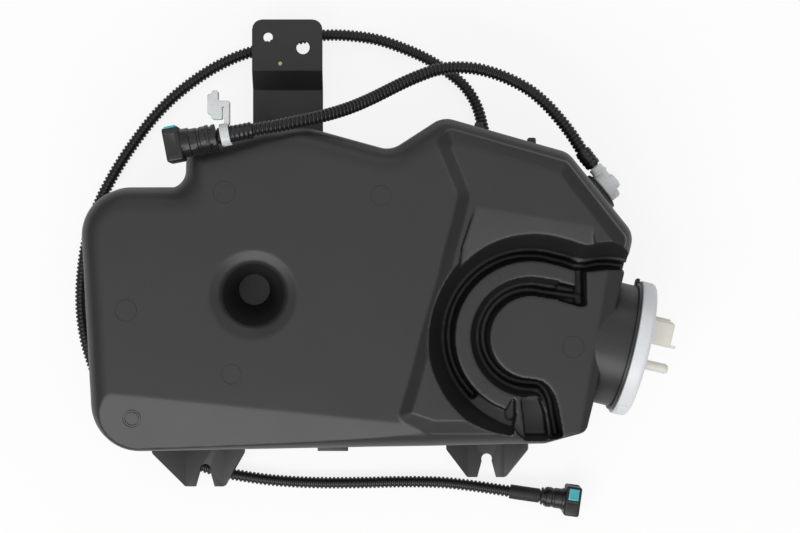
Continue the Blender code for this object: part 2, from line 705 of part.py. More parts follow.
def face_cutters(grow, tag):
    """Cone dimple and the flat facets of the front face."""
    lip, floor = CONE_LIP, CONE_FLOOR
    cone = loft("cone" + tag, [
        circle(floor, CONE_FLOOR_R + grow, CONE_FLOOR_Z - grow, SMALL_SIDES),
        circle(floor, CONE_FLOOR_R + 2 * mm + grow, CONE_FLOOR_Z + 4 * mm - grow, SMALL_SIDES),
        circle(lip, CONE_THROAT_R + grow, CONE_THROAT_Z - grow, SMALL_SIDES),
        circle(lip, CONE_LIP_R + grow, FRONT_Z + 0.1 * mm - grow, SMALL_SIDES),
        circle(lip, CONE_LIP_R + 2 * mm + grow, FRONT_Z + 10 * mm, SMALL_SIDES)])
    low_a, low_b = in_mm([(-215.0, -75.6), (60.0, -103.5)])
    low_plane = plane_past(low_a, low_b, FRONT_Z - grow, 0.26)
    low_field = [low_a, low_b] + in_mm([(60, -135), (-215, -135)])
    high_a, high_b = in_mm([(46.5, 37.2), (120.0, 25.0)])
    high_plane = plane_past(high_a, high_b, FRONT_Z + MESA_RISE - grow, 0.20)
    high_field = [high_a, high_b] + in_mm([(122, 4), (100, -5), (60, -20), (36, -6), (38, 12)])
    low_cut = sloped_cut("lower_facet" + tag, low_field, low_plane, grow)
    high_cut = sloped_cut("channel_facet" + tag, high_field, high_plane, grow)
    return low_cut, [cone, high_cut]


def vent_recess(grow, tag):
    """Pocket in the back for the vent elbow, open to the top edge."""
    plan = in_mm([(52, 48), (84, 48), (84, 76), (72, 106), (44, 106), (52, 76)])
    corners = [(p.x, p.y, 5 * mm) for p in plan]
    return loft("vent_recess" + tag, [
        level(rounded_outline(corners, -grow - 2 * mm, 1.0), -5 * mm),
        level(rounded_outline(corners, -grow, 1.0), VENT_AT.z + grow)])


def valve_frame():
    """Frame of the fill valve: origin on its seat at the nearest wall, local Z straight out."""
    corners = [Vector((x, y)) * mm for x, y, _ in OUTLINE]
    spot = Vector(VALVE_AT)

    def foot_on(start, end):
        along = end - start
        share = min(max((spot - start).dot(along) / along.length_squared, 0.0), 1.0)
        return start + along * share, along.normalized()

    foot, along = min((foot_on(a, b) for a, b in zip(corners, corners[1:] + corners[:1])),
                      key=lambda found: (found[0] - spot).length)
    out = Vector((along.y, -along.x, 0))
    seat = Vector((foot.x, foot.y, PART_Z)) + out * (DRAFT + VALVE_SEAT_H)
    return axis_frame(seat, out)


SCREW_SPOTS = [(-88, 64), (-63.5, 64), (-138.5, -84), (-125, -84), (52.5, -84), (65, -84)]
PAD_SPOTS = [(-160, 10), (-150, -52), (0, 0), (100, -60), (100, 25)]
PAD_SIZE = (34, 24)
EDGE_LUGS = [(51.6, 94.1), (86.4, 84.2)]    # plan place of each lug's tip on the top edge
EDGE_LUG_W = 5.2
EDGE_LUG_Z = (40, 50)
EDGE_TAB = ((-54, -121, 46), (-34, -108, 49))


def front_form(name, wall, tag):
    """The moulded form with all its facets and channels, outside or one wall in."""
    form = shell_body(name, wall)
    low_facet, face_cuts = face_cutters(wall, tag)
    combine(form, low_facet)
    combine(form, mesa("mesa" + tag, wall), "UNION")
    for cut in face_cuts + channel_cutters(wall, tag):
        combine(form, cut)
    return combine(form, vent_recess(wall, tag))


def tank_shell():
    """The blow-moulded tank, hollow, with its neck, pads, lugs and openings."""
    shell = front_form("tank_shell", 0.0, "_outside")

    neck = axis_frame(NECK_CENTRE, in_plane(NECK_ANGLE))
    neck_profile = [(0, STUB_LENGTH), (STUB_R, STUB_LENGTH), (STUB_R, 0), (BEAD_R, 0),
                    (BEAD_R, -BEAD_H), (NECK_R, -BEAD_H), (NECK_R, -NECK_LENGTH / 2),
                    (NECK_R - NECK_TAPER, -NECK_LENGTH), (0, -NECK_LENGTH)]
    combine(shell, turned("neck_outside", neck_profile, neck, SIDES, closed=False), "UNION")
    combine(shell, block("bead_lug", (NECK_R - 2 * mm, -BEAD_LUG_W / 2, -BEAD_H - 0.5 * mm),
                         (BEAD_R + BEAD_LUG_PROUD, BEAD_LUG_W / 2, -0.2 * mm),
                         neck @ Matrix.Rotation(BEAD_LUG_ANGLE, 4, "Z")), "UNION")
    combine(shell, rod("valve_seat", (0, 0, -WALL - VALVE_SEAT_H), (0, 0, 0),
                       GROMMET_R + 1 * mm, sides=24, frame=valve_frame()), "UNION")

    for i, (x, y) in enumerate(EDGE_LUGS):
        low, high = EDGE_LUG_Z
        half = EDGE_LUG_W / 2
        combine(shell, block(f"edge_lug_{i}", Vector((x - half, y - 14, low)) * mm,
                             Vector((x + half, y, high)) * mm, bevel=1.2 * mm), "UNION")
    combine(shell, block("edge_tab", *[Vector(corner) * mm for corner in EDGE_TAB]), "UNION")
    for i, (x, y) in enumerate(PAD_SPOTS):
        reach_x, reach_y = PAD_SIZE[0] / 2, PAD_SIZE[1] / 2
        corners = [(x - reach_x, y - reach_y, 5), (x + reach_x, y - reach_y, 5),
                   (x + reach_x, y + reach_y, 5), (x - reach_x, y + reach_y, 5)]
        pad = loft(f"rest_pad_{i}", [level(rounded_outline(corners, 2 * mm), 0.0),
                                     level(rounded_outline(corners), BACK_Z + 1 * mm)])
        combine(shell, pad, "UNION")

    core = front_form("cavity", WALL, "_inside")
    for i, (x, y) in enumerate(SCREW_SPOTS):
        top = BACK_Z + SCREW_LENGTH + WALL
        combine(core, rod(f"screw_boss_{i}", (x * mm, y * mm, 0), (x * mm, y * mm, top),
                          SCREW_BOSS_R, sides=12))
    combine(shell, core)

    bore = rod("neck_bore", (0, 0, -NECK_LENGTH - 2 * mm), (0, 0, 20 * mm), BORE_R, sides=SIDES,
               frame=between_facets(neck, SIDES))
    combine(shell, bore)
    for i, (x, y) in enumerate(SCREW_SPOTS):
        combine(shell, rod(f"screw_hole_{i}", (x * mm, y * mm, 0),
                           (x * mm, y * mm, SEAT_Z + SCREW_LENGTH + 1 * mm),
                           SCREW_R + GAP, sides=12))
    combine(shell, rod("valve_hole", (0, 0, -20 * mm), (0, 0, 10 * mm), GROMMET_HOLE_R,
                       sides=24, frame=valve_frame()))
    combine(shell, rod("vent_hole", (VENT_AT.x, VENT_AT.y, VENT_AT.z - 5 * mm),
                       (VENT_AT.x, VENT_AT.y, VENT_AT.z + 12 * mm), VENT_HOLE_R, sides=24))
    return as_part(shell, SHELL_BLACK)


# Pressed brackets and their screws

def bent_sheet(name, outline, bends, height_at, across="y"):
    """Fold a flat outline at its bend lines and thicken it upwards."""
    mesh_data = bmesh.new()
    mesh_data.faces.new([mesh_data.verts.new((p.x, p.y, 0)) for p in outline])
    normal = (0, 1, 0) if across == "y" else (1, 0, 0)
    for bend in bends:
        everything = mesh_data.verts[:] + mesh_data.edges[:] + mesh_data.faces[:]
        bmesh.ops.bisect_plane(mesh_data, geom=everything, dist=1e-7,
                               plane_co=tuple(bend * n for n in normal), plane_no=normal)
    for vert in mesh_data.verts:
        vert.co.z = height_at(vert.co.y if across == "y" else vert.co.x)
    for face in mesh_data.faces:
        face.normal_update()
        if face.normal.z < 0:
            face.normal_flip()
    mesh = bpy.data.meshes.new(name)
    mesh_data.to_mesh(mesh)
    mesh_data.free()
    sheet = bpy.data.objects.new(name, mesh)
    solid = sheet.modifiers.new("thickness", "SOLIDIFY")
    solid.thickness = SHEET
    solid.offset = 1.0
    solid.use_even_offset = True
    return solid_of(sheet)


def screw_holes(sheet, spots):
    """Clearance holes for the screws of one bracket."""
    for i, (x, y) in enumerate(spots):
        combine(sheet, rod(f"{sheet.name}_hole_{i}", (x * mm, y * mm, 0),
                           (x * mm, y * mm, 40 * mm), SCREW_R + GAP, sides=16))


def top_bracket():
    """Strap that rises past the top edge and carries the two fixing holes."""
    left, right = STRAP_X[0] / mm, STRAP_X[1] / mm
    corners = [(left, STRAP_END / mm, 4), (right, STRAP_END / mm, 4),
               (right, STRAP_TOP / mm, STRAP_ROUND / mm), (left, STRAP_TOP / mm, STRAP_ROUND / mm)]
    upper, lower = STRAP_BENDS

    def height_at(y):
        share = min(max((y - lower) / (upper - lower), 0.0), 1.0)
        return SEAT_Z + STRAP_RISE * share

    strap = bent_sheet("top_bracket", rounded_outline(corners), STRAP_BENDS, height_at)
    for label, (x, y, radius) in (("bolt", BOLT_HOLE), ("peg", PEG_HOLE)):
        combine(strap, rod(f"top_bracket_{label}_hole", (x, y, 0), (x, y, 60 * mm), radius,
                           sides=28))
    screw_holes(strap, SCREW_SPOTS[:2])
    return as_part(strap, STEEL_BLACK)


def foot_bracket(name, centre_x, root_y, tip_y, slot_y, half_width, spreads, spots):
    """Foot with two prongs round an open slot and two raised wings at its root."""
    x, half = centre_x, half_width
    left, right = x - half - spreads[0], x + half + spreads[1]
    corners = [(x - half, FOOT_END, 3), (x - half, root_y + 12, 2), (left, root_y + 6, 4),
               (left, root_y, 3), (x - half - 1, tip_y, 2), (x + half + 1, tip_y, 2),
               (right, root_y, 3), (right, root_y + 6, 4),
               (x + half, root_y + 12, 2), (x + half, FOOT_END, 3)]
    low, high = (x - half) * mm, (x + half) * mm

    def height_at(at):
        return SEAT_Z + math.tan(FOOT_BEND) * max(low - at, at - high, 0.0)

    foot = bent_sheet(name, rounded_outline(corners), (low, high), height_at, across="x")
    slot = rod(name + "_slot", (x * mm, slot_y * mm, 0), (x * mm, slot_y * mm, 30 * mm), SLOT_R)
    mouth = in_mm([(x - 3.0, slot_y), (x - 7.4, tip_y - 4), (x + 7.4, tip_y - 4), (x + 3.0, slot_y)])
    combine(foot, slot)
    combine(foot, loft(name + "_mouth", [level(mouth, 1 * mm), level(mouth, 29 * mm)]))
    screw_holes(foot, spots)
    return as_part(foot, STEEL_BLACK)


def brackets():
    """The strap and the two feet, each with its pair of screws."""
    top_bracket()
    foot_bracket("left_foot", -131.9, -125.6, -149.0, -137.3, 12.6, (22.6, 14.6), SCREW_SPOTS[2:4])
    foot_bracket("right_foot", 58.7, -123.5, -142.7, -130.3, 12.3, (15.3, 15.7), SCREW_SPOTS[4:6])
    names = ("top_bracket", "left_foot", "right_foot")
    for i, (x, y) in enumerate(SCREW_SPOTS):
        top = SEAT_Z - GAP
        tip = SEAT_Z + SCREW_LENGTH - GAP
        profile = [(0, tip), (SCREW_R - 0.8 * mm, tip), (SCREW_R, tip - 1 * mm), (SCREW_R, top),
                   (SCREW_HEAD_R, top), (SCREW_HEAD_R, top - 0.4 * SCREW_HEAD_H),
                   (0.6 * SCREW_HEAD_R, top - SCREW_HEAD_H), (0, top - SCREW_HEAD_H)]
        place = Matrix.Translation((x * mm, y * mm, 0))
        label = f"{names[i // 2]}_screw_{'ab'[i % 2]}"
        as_part(turned(label, profile, place, 10, closed=False), SCREW_ZINC)


# Pump module in the neck

def neck_frame():
    """Frame of the neck: origin at its shoulder, Z outwards, X up from the table."""
    return axis_frame(NECK_CENTRE, in_plane(NECK_ANGLE))


SEAL_Z = STUB_LENGTH + GAP
FLANGE_Z = SEAL_Z + SEAL_H + GAP
LIP_Z = FLANGE_Z + FLANGE_H + GAP
RING_TOP = LIP_Z + LIP_H
DOME_Z = FLANGE_Z + FLANGE_H + 2 * mm
SKIRT_R = BORE_R - 2 * GAP
RING_BORE_R = STUB_R + 1.3 * GAP
LIP_R = BORE_R - LIP_REACH
POT_FRONT = FLANGE_Z - SKIRT_DEPTH - GAP
POT_LOW = -math.sqrt((BORE_R - POT_FIT) ** 2 - (POT_W / 2) ** 2)


def lock_ring():
    """Ring that turns on the neck's stub and holds the flange down by its lip."""
    edge = 2.4 * mm
    profile = [(LIP_R, RING_TOP), (RING_R - edge, RING_TOP), (RING_R - 0.7 * mm, RING_TOP - 0.7 * mm),
               (RING_R, RING_TOP - edge), (RING_R, GAP + 0.8 * mm), (RING_R - 0.8 * mm, GAP),
               (RING_BORE_R, GAP), (RING_BORE_R, LIP_Z), (LIP_R, LIP_Z)]
    as_part(turned("lock_ring", profile, neck_frame(), SIDES), NYLON_WHITE)


def neck_seal():
    """Flat ring squeezed between the neck's stub and the flange."""
    profile = [(SKIRT_R + GAP, SEAL_Z + SEAL_H), (STUB_R - GAP, SEAL_Z + SEAL_H),
               (STUB_R - GAP, SEAL_Z), (SKIRT_R + GAP, SEAL_Z)]
    as_part(turned("neck_seal", profile, neck_frame(), SIDES), RUBBER)


def pump_flange():
    """Flange with its skirt in the neck, its plug socket and its outlet port."""
    neck = neck_frame()
    profile = [(0, DOME_Z), (LIP_R - 3 * mm, DOME_Z), (LIP_R - 0.8 * mm, DOME_Z - 1 * mm),
               (LIP_R - 0.8 * mm, FLANGE_Z + FLANGE_H), (STUB_R - GAP, FLANGE_Z + FLANGE_H),
               (STUB_R - GAP, FLANGE_Z), (SKIRT_R, FLANGE_Z), (SKIRT_R, FLANGE_Z - SKIRT_DEPTH),
               (SKIRT_R - SKIRT_WALL, FLANGE_Z - SKIRT_DEPTH), (SKIRT_R - SKIRT_WALL, FLANGE_Z),
               (0, FLANGE_Z)]
    flange = turned("pump_flange", profile, neck, SIDES, closed=False)
    half_w, half_d = PLUG_W / 2, PLUG_D / 2
    base, tip = DOME_Z - 1 * mm, DOME_Z + PLUG_LENGTH
    combine(flange, block("plug_shroud", (-half_d, PLUG_Y - half_w, base),
                          (half_d, PLUG_Y + half_w, tip), neck, 1.2 * mm), "UNION")
    combine(flange, block("plug_key", (-2.5 * mm, PLUG_Y + half_w - 4.2 * mm, base),
                          (2.5 * mm, PLUG_Y + half_w + 0.6 * mm, tip + 4 * mm), neck, 0.6 * mm),
            "UNION")
    combine(flange, block("plug_latch", (-2 * mm, PLUG_Y - half_w - 2.2 * mm, base + 3 * mm),
                          (2 * mm, PLUG_Y - half_w + 1 * mm, tip - 3 * mm), neck, 0.6 * mm), "UNION")
    end = DOME_Z + PORT_LENGTH
    barb = [(0, end), (PORT_R - 0.8 * mm, end), (PORT_R + 0.4 * mm, end - 2.5 * mm),
            (PORT_R, end - 2.5 * mm), (PORT_R, base), (0, base)]
    port = neck @ Matrix.Translation((0, PORT_Y, 0))
    combine(flange, turned("port_outside", barb, port, SMALL_SIDES, closed=False), "UNION")
    inner_w, inner_d = half_w - PLUG_WALL, half_d - PLUG_WALL
    combine(flange, block("plug_socket", (-inner_d, PLUG_Y - inner_w, DOME_Z + 2 * mm),
                          (inner_d, PLUG_Y + inner_w, tip + 12 * mm), neck))
    combine(flange, rod("port_bore", (0, 0, FLANGE_Z - 5 * mm), (0, 0, 60 * mm), PORT_R - 1.5 * mm,
                        frame=between_facets(port, 12), sides=12))
    as_part(flange, NYLON_IVORY)
    for i, side in enumerate((-1, 1)):
        y = PLUG_Y + side * 2.6 * mm
        low = DOME_Z + 2 * mm + GAP
        as_part(block(f"terminal_pin_{i + 1}", (-PIN_W, y - PIN_W / 2, low),
                      (PIN_W, y + PIN_W / 2, low + PIN_LENGTH), neck), BRASS, smooth=False)


PUMP_X = POT_LOW + POT_WALL + GAP + PUMP_R
PUMP_Y = POT_W / 2 - POT_WALL - GAP - PUMP_R
PUMP_FRONT = POT_FRONT - POT_WALL - PUMP_INSET
PUMP_BACK = PUMP_FRONT - PUMP_LENGTH
POT_BACK = PUMP_BACK - GAP - STRAINER_LENGTH - POT_END_GAP - POT_WALL


def pump_module():
    """Reservoir pot behind the flange, with the pump, its strainer and the outlet tube."""
    neck = neck_frame()
    half = POT_W / 2
    pot = block("swirl_pot", (POT_LOW, -half, POT_BACK), (POT_TOP, half, POT_FRONT), neck, 2 * mm)
    combine(pot, block("pot_inside", (POT_LOW + POT_WALL, -half - 10 * mm, POT_BACK + POT_WALL),
                       (POT_TOP - POT_WALL, half - POT_WALL, POT_FRONT - POT_WALL), neck))
    combine(pot, rod("pot_tube_hole", (PUMP_X + 1 * mm, PUMP_Y, POT_FRONT - 2 * POT_WALL),
                     (PUMP_X + 3 * mm, PUMP_Y, POT_FRONT + 2 * POT_WALL), TUBE_R + 1.2 * mm,
                     frame=neck, sides=16))
    as_part(pot, NYLON_BLACK)
    shape = [(0, PUMP_FRONT), (PUMP_R * 0.5, PUMP_FRONT), (PUMP_R * 0.5, PUMP_FRONT - 4 * mm),
             (PUMP_R, PUMP_FRONT - 6 * mm), (PUMP_R, PUMP_BACK), (0, PUMP_BACK)]
    seat = neck @ Matrix.Translation((PUMP_X, PUMP_Y, 0))
    as_part(turned("pump_body", shape, seat, 20, closed=False), PUMP_STEEL)
    start = PUMP_BACK - GAP
    as_part(rod("strainer", (0, 0, start - STRAINER_LENGTH), (0, 0, start), PUMP_R - 1.5 * mm,
                frame=seat), MESH_WHITE)
    knots = [(PUMP_X, PUMP_Y, PUMP_FRONT + GAP), (PUMP_X, PUMP_Y, PUMP_FRONT + 3 * mm),
             (PUMP_X * 0.85, PUMP_Y, POT_FRONT + 2 * mm), (PUMP_X * 0.4, PORT_Y, FLANGE_Z - 11 * mm),
             (0, PORT_Y, FLANGE_Z - 5 * mm), (0, PORT_Y, FLANGE_Z - GAP)]
    tube = tube_along("outlet_tube", smooth_route(knots, 3 * mm), TUBE_R)
    tube.matrix_world = neck
    as_part(tube, NYLON_BLACK)


# Fill valve and vent elbow

def fill_valve():
    """White right-angle valve in its grommet, with the arm that takes the fill hose."""
    frame = valve_frame()
    lip = 1.0 * mm
    body_r = GROMMET_HOLE_R - GAP
    stem_r = 5.0 * mm
    grommet = [(stem_r + GAP, GAP + GROMMET_H), (GROMMET_R - lip, GAP + GROMMET_H),
               (GROMMET_R, GAP + 0.6 * GROMMET_H), (GROMMET_R, GAP), (body_r, GAP),
               (body_r, -6 * mm), (stem_r + GAP, -6 * mm)]
    as_part(turned("fill_grommet", grommet, frame, 20), RUBBER)
    seat = GROMMET_H + 2 * GAP
    top = VALVE_ARM_OUT + VALVE_ARM_R
    shape = [(0, top + 1.2 * mm), (VALVE_KNOB_R - 1 * mm, top + 1.2 * mm),
             (VALVE_KNOB_R, top + 0.2 * mm), (VALVE_KNOB_R, VALVE_ARM_OUT + 2 * mm),
             (VALVE_R - 0.8 * mm, VALVE_ARM_OUT + 1.6 * mm), (VALVE_R, VALVE_ARM_OUT + 0.8 * mm),
             (VALVE_R, seat + 0.3 * mm), (VALVE_R - 0.5 * mm, seat), (stem_r, seat),
             (stem_r, -8 * mm), (0, -8 * mm)]
    body = turned("fill_valve", shape, frame, 20, closed=False)
    arm_start, arm_tip = (0, 0, VALVE_ARM_OUT), (0, -VALVE_ARM_LENGTH, VALVE_ARM_OUT)
    combine(body, rod("valve_arm", arm_start, arm_tip, VALVE_ARM_R, frame=frame), "UNION")
    combine(body, rod("valve_arm_bore", (0, 2 * mm, VALVE_ARM_OUT),
                      (0, -VALVE_ARM_LENGTH - 4 * mm, VALVE_ARM_OUT), 2.5 * mm, frame=frame, sides=12))
    combine(body, rod("valve_bore", (0, 0, -12 * mm), (0, 0, VALVE_ARM_OUT), 2.6 * mm,
                      frame=between_facets(frame, 12), sides=12))
    as_part(body, NYLON_WHITE)


def vent_elbow():
    """Vent elbow hidden in the recess of the back, pointing out past the top edge."""
    x, y, roof = VENT_AT
    place = Matrix.Translation((x, y, 0))
    stem = VENT_PIPE_R
    sleeve_r = VENT_HOLE_R - GAP
    collar = 1.6 * mm
    face = roof - GAP
    grommet = [(stem + GAP, face + 6 * mm), (sleeve_r, face + 6 * mm), (sleeve_r, face),
               (sleeve_r + 3 * mm, face), (sleeve_r + 3 * mm, face - collar),
               (stem + GAP, face - collar)]
    as_part(turned("vent_grommet", grommet, place, 16), RUBBER)
    below = face - collar - GAP
    shape = [(0, face + 8 * mm), (stem, face + 8 * mm), (stem, below), (stem + 3 * mm, below),
             (stem + 3 * mm, below - 1.5 * mm), (stem, below - 1.5 * mm), (stem, VENT_AXIS_Z),
             (0, VENT_AXIS_Z)]
    body = turned("vent_elbow", shape, place, 16, closed=False)
    at = Vector((x, y, VENT_AXIS_Z))
    end = at + in_plane(VENT_ANGLE) * VENT_REACH
    combine(body, rod("vent_arm", at - in_plane(VENT_ANGLE) * stem, end, stem * 1.01, sides=16), "UNION")
    combine(body, rod("vent_arm_bore", at, end + in_plane(VENT_ANGLE) * 4 * mm, 2.2 * mm, sides=12))
    combine(body, rod("vent_stem_bore", at, (x, y, roof + 12 * mm), 2.1 * mm, sides=12))
    as_part(body, NYLON_BLACK)
    return end


# Quick connectors

def qc_length(size):
    """Length of a quick connector from its mouth to its hose end."""
    return size["head"] + size["collar"] + size["barrel"] + size["tail"]


def quick_connector(label, size, frame):
    """Connector body, sprung release button, two O-rings and the spacer between them.

    Local Z points out of the mouth and local X is the way the button faces.
    """
    head, deep, across = size["head"], size["deep"] / 2, size["across"] / 2
    collar_end = -head - size["collar"]
    barrel_end = collar_end - size["barrel"]
    tail_end = barrel_end - size["tail"]
    body = block(f"{label}_connector_body", (-deep, -across, -head), (deep, across, 0), frame,
                 1.6 * mm)
    step = size["tail"] / 3
    stem = [(0, -head + 1 * mm), (size["collar_r"], -head + 1 * mm), (size["collar_r"], collar_end),
            (size["barrel_r"], collar_end), (size["barrel_r"], barrel_end),
            (size["tail_r"], barrel_end), (size["tail_r"], barrel_end - step),
            (size["tail_r"] - 1.2 * mm, barrel_end - step), (size["tail_r"] - 1.2 * mm, tail_end + step),
            (size["tail_r"] - 0.4 * mm, tail_end + step), (size["tail_r"] - 0.4 * mm, tail_end),
            (0, tail_end)]
    combine(body, turned(f"{label}_stem", stem, frame, SMALL_SIDES, closed=False), "UNION")
    pipe_r = size["pipe_r"]
    ring_out = pipe_r + 2 * RING_SECTION_R - 0.05 * mm
    chamber_r = ring_out + GAP
    chamber = -head - 1 * mm
    chamber_end = chamber - 4 * GAP - 4 * RING_SECTION_R - SPACER_H
    bore = [(0, 5 * mm), (pipe_r + GAP + 0.8 * mm, 5 * mm), (pipe_r + GAP + 0.8 * mm, -0.6 * mm),
            (pipe_r + GAP, -1.6 * mm), (pipe_r + GAP, chamber), (chamber_r, chamber),
            (chamber_r, chamber_end), (pipe_r, chamber_end), (pipe_r, chamber_end - 3 * mm),
            (BORE_END_R, chamber_end - 4 * mm), (BORE_END_R, tail_end - 5 * mm), (0, tail_end - 5 * mm)]
    combine(body, turned(f"{label}_bore", bore, between_facets(frame, 14), 14, closed=False))
    half_w, inset = BUTTON_W / 2, 1.9 * mm
    button_low = deep + BUTTON_PROUD - BUTTON_H
    off = -BUTTON_OFF
    combine(body, block(f"{label}_pocket", (button_low - BUTTON_TRAVEL - GAP, off - half_w - SLIDE_GAP,
                                            -head + inset - SLIDE_GAP),
                        (deep + 5 * mm, off + half_w + SLIDE_GAP, -inset + SLIDE_GAP), frame))
    groove_y = across * 0.08
    combine(body, block(f"{label}_slit", (deep - 0.8 * mm, groove_y, -head + inset),
                        (deep + 2 * mm, groove_y + 0.9 * mm, -inset), frame))
    as_part(body, NYLON_BLACK)
    seat = frame @ Matrix.Translation((button_low, off, -head / 2))
    along = head / 2 - inset
    as_part(block(f"{label}_release_button", (0, -half_w, -along), (BUTTON_H, half_w, along), seat,
                  0.5 * mm), TEAL)
    ring_z = chamber - GAP - RING_SECTION_R
    for which in ("outer", "inner"):
        mid_r = pipe_r + RING_SECTION_R - 0.05 * mm
        section = [(mid_r + RING_SECTION_R * math.cos(math.tau * i / 6),
                    ring_z - RING_SECTION_R * math.sin(math.tau * i / 6)) for i in range(6)]
        as_part(turned(f"{label}_o_ring_{which}", section, frame, 12), RUBBER)
        ring_z -= 2 * RING_SECTION_R + SPACER_H + 2 * GAP
    top = chamber - 2 * GAP - 2 * RING_SECTION_R
    spacer = [(pipe_r, top), (ring_out, top), (ring_out, top - SPACER_H), (pipe_r, top - SPACER_H)]
    as_part(turned(f"{label}_spacer", spacer, frame, 14), NYLON_WHITE)


def fill_qc_frame():
    """Mouth of the fill connector, its button towards the top edge."""
    return axis_frame(FILL_QC_MOUTH, in_plane(FILL_QC_ANGLE), up=(0, 1, 0))


def vent_qc_frame():
    """Mouth of the vent connector, its button facing up from the table."""
    return axis_frame(VENT_QC_MOUTH, in_plane(VENT_QC_ANGLE))


# Hoses

def sleeve(name, route, start, end, radius, mat):
    """A tape or heat-shrunk sleeve round a hose, between two lengths from the route's start."""
    over = 0.5 * mm
    first, last = part_way(route, start, end), part_way(route, start - over, end + over)
    outer = tube_along(name, first, radius)
    combine(outer, tube_along(name + "_inside", last, HOSE_R + GAP))
    return as_part(outer, mat)


def hose_route(start, knots, connector, size, spacing):
    """Smooth route from a fitting through its knots, with a straight lead at each end."""
    tail = -qc_length(size)
    end = [connector @ Vector((0, 0, tail - HOSE_LEAD)), connector @ Vector((0, 0, tail - GAP))]
    free = smooth_route([*start, *[Vector(p) * mm for p in knots], *end], spacing)
    clear = HOSE_LEAD + spacing / 2
    inner = [p for p in free if (p - start[0]).length > clear and (p - end[1]).length > clear]
    return [*start, *inner, *end]


def route_marks(route):
    """Length along a route at each of its points."""
    marks = [0.0]
    for p, q in zip(route, route[1:]):
        marks.append(marks[-1] + (q - p).length)
    return marks


def part_way(route, low, high):
    """Stretch of a route between two lengths measured along it."""
    marks = route_marks(route)

    def point_at(mark):
        i = max(n for n, passed in enumerate(marks[:-1]) if passed <= mark)
        return route[i].lerp(route[i + 1], (mark - marks[i]) / (marks[i + 1] - marks[i]))

    between = [p for p, passed in zip(route, marks) if low < passed < high]
    return [point_at(low), *between, point_at(high)]


def hoses(vent_exit):
    """Both hoses from their fittings to their connectors, with their sleeves."""
    frame = valve_frame()
    start = frame @ Vector((0, -VALVE_ARM_LENGTH - GAP, VALVE_ARM_OUT))
    leave = frame @ Vector((0, -VALVE_ARM_LENGTH - HOSE_LEAD, VALVE_ARM_OUT))
    route = hose_route([start, leave], FILL_ROUTE, fill_qc_frame(), FILL_QC, FILL_STEP)
    as_part(tube_along("fill_hose", route, HOSE_R), HOSE_BLACK)
    end = route_marks(route)[-1]
    sleeve("fill_hose_tape_valve_end", route, 1 * mm, 1 * mm + VALVE_TAPE, TAPE_R, RUBBER)
    sleeve("fill_hose_tape_connector_end", route, end - 1 * mm - QC_TAPE, end - 1 * mm, TAPE_R, RUBBER)
    begin = [vent_exit + in_plane(VENT_ANGLE) * GAP, vent_exit + in_plane(VENT_ANGLE) * HOSE_LEAD]
    route = hose_route(begin, VENT_ROUTE, vent_qc_frame(), VENT_QC, VENT_STEP)
    as_part(tube_along("vent_hose", route, HOSE_R), HOSE_BLACK)
    end = route_marks(route)[-1]
    sleeve("vent_hose_sleeve", route, end - 1 * mm - VENT_SLEEVE, end - 1 * mm, SLEEVE_R, RUBBER)


def hose_clip():
    """Translucent pipe clip that stands on the taped end of the fill hose."""
    outline = [(x, y, 0.8) for x, y in CLIP_OUTLINE]
    z, half = FILL_QC_MOUTH.z, CLIP_H / 2
    edge = 0.5 * mm
    inner, outer = rounded_outline(outline, edge), rounded_outline(outline)
    clip = loft("hose_clip", [level(inner, z - half), level(outer, z - half + edge),
                              level(outer, z + half - edge), level(inner, z + half)])
    along = -in_plane(FILL_QC_ANGLE)
    tail = fill_qc_frame() @ Vector((0, 0, -qc_length(FILL_QC)))
    at = tail + along * CLIP_AT
    combine(clip, rod("hose_clip_saddle", at, at + along * CLIP_WIDTH, TAPE_R + GAP + CLIP_WALL,
                      sides=20), "UNION")
    combine(clip, rod("hose_clip_grip", at - along * 3 * mm, at + along * (CLIP_WIDTH + 3 * mm),
                      TAPE_R + GAP, sides=20))
    open_side = axis_frame(at, along, up=(0, 1, 0))
    combine(clip, block("hose_clip_mouth", (-14 * mm, -3.6 * mm, -1 * mm),
                        (-0.5 * mm, 3.6 * mm, CLIP_WIDTH + 2 * mm), open_side))
    as_part(clip, NYLON_WHITE)


def build():
    """Model the whole tank."""
    tank_shell()
    brackets()
    lock_ring()
    neck_seal()
    pump_flange()
    pump_module()
    fill_valve()
    vent_exit = vent_elbow()
    quick_connector("fill", FILL_QC, fill_qc_frame())
    quick_connector("vent", VENT_QC, vent_qc_frame())
    hoses(vent_exit)
    hose_clip()


build()
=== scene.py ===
"""Looks of a blow-moulded additive tank that lies on its back under soft studio light.

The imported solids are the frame. The shell, the corrugated hoses and the other visible pieces are
modelled again here at full detail, and every surface gets a procedural finish. Units are metres,
+Z is up from the table, and the camera looks straight down.
"""

import logging
import math
from collections.abc import Callable
from dataclasses import dataclass, field
from enum import Enum

import bmesh
import bpy
from mathutils import Matrix, Vector, noise


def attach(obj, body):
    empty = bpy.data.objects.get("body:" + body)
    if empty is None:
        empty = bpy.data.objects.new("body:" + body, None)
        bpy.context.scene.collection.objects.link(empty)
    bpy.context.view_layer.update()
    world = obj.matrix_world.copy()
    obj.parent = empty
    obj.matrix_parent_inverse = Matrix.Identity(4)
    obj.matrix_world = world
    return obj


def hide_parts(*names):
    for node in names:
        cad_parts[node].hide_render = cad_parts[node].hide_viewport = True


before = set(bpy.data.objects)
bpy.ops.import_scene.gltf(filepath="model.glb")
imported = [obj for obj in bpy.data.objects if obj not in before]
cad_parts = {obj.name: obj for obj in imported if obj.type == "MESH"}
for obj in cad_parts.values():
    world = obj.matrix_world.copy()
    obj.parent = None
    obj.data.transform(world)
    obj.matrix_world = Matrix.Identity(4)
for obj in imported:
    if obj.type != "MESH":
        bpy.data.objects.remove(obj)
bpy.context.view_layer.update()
LOG = logging.getLogger("additive_tank")
MM = 0.001

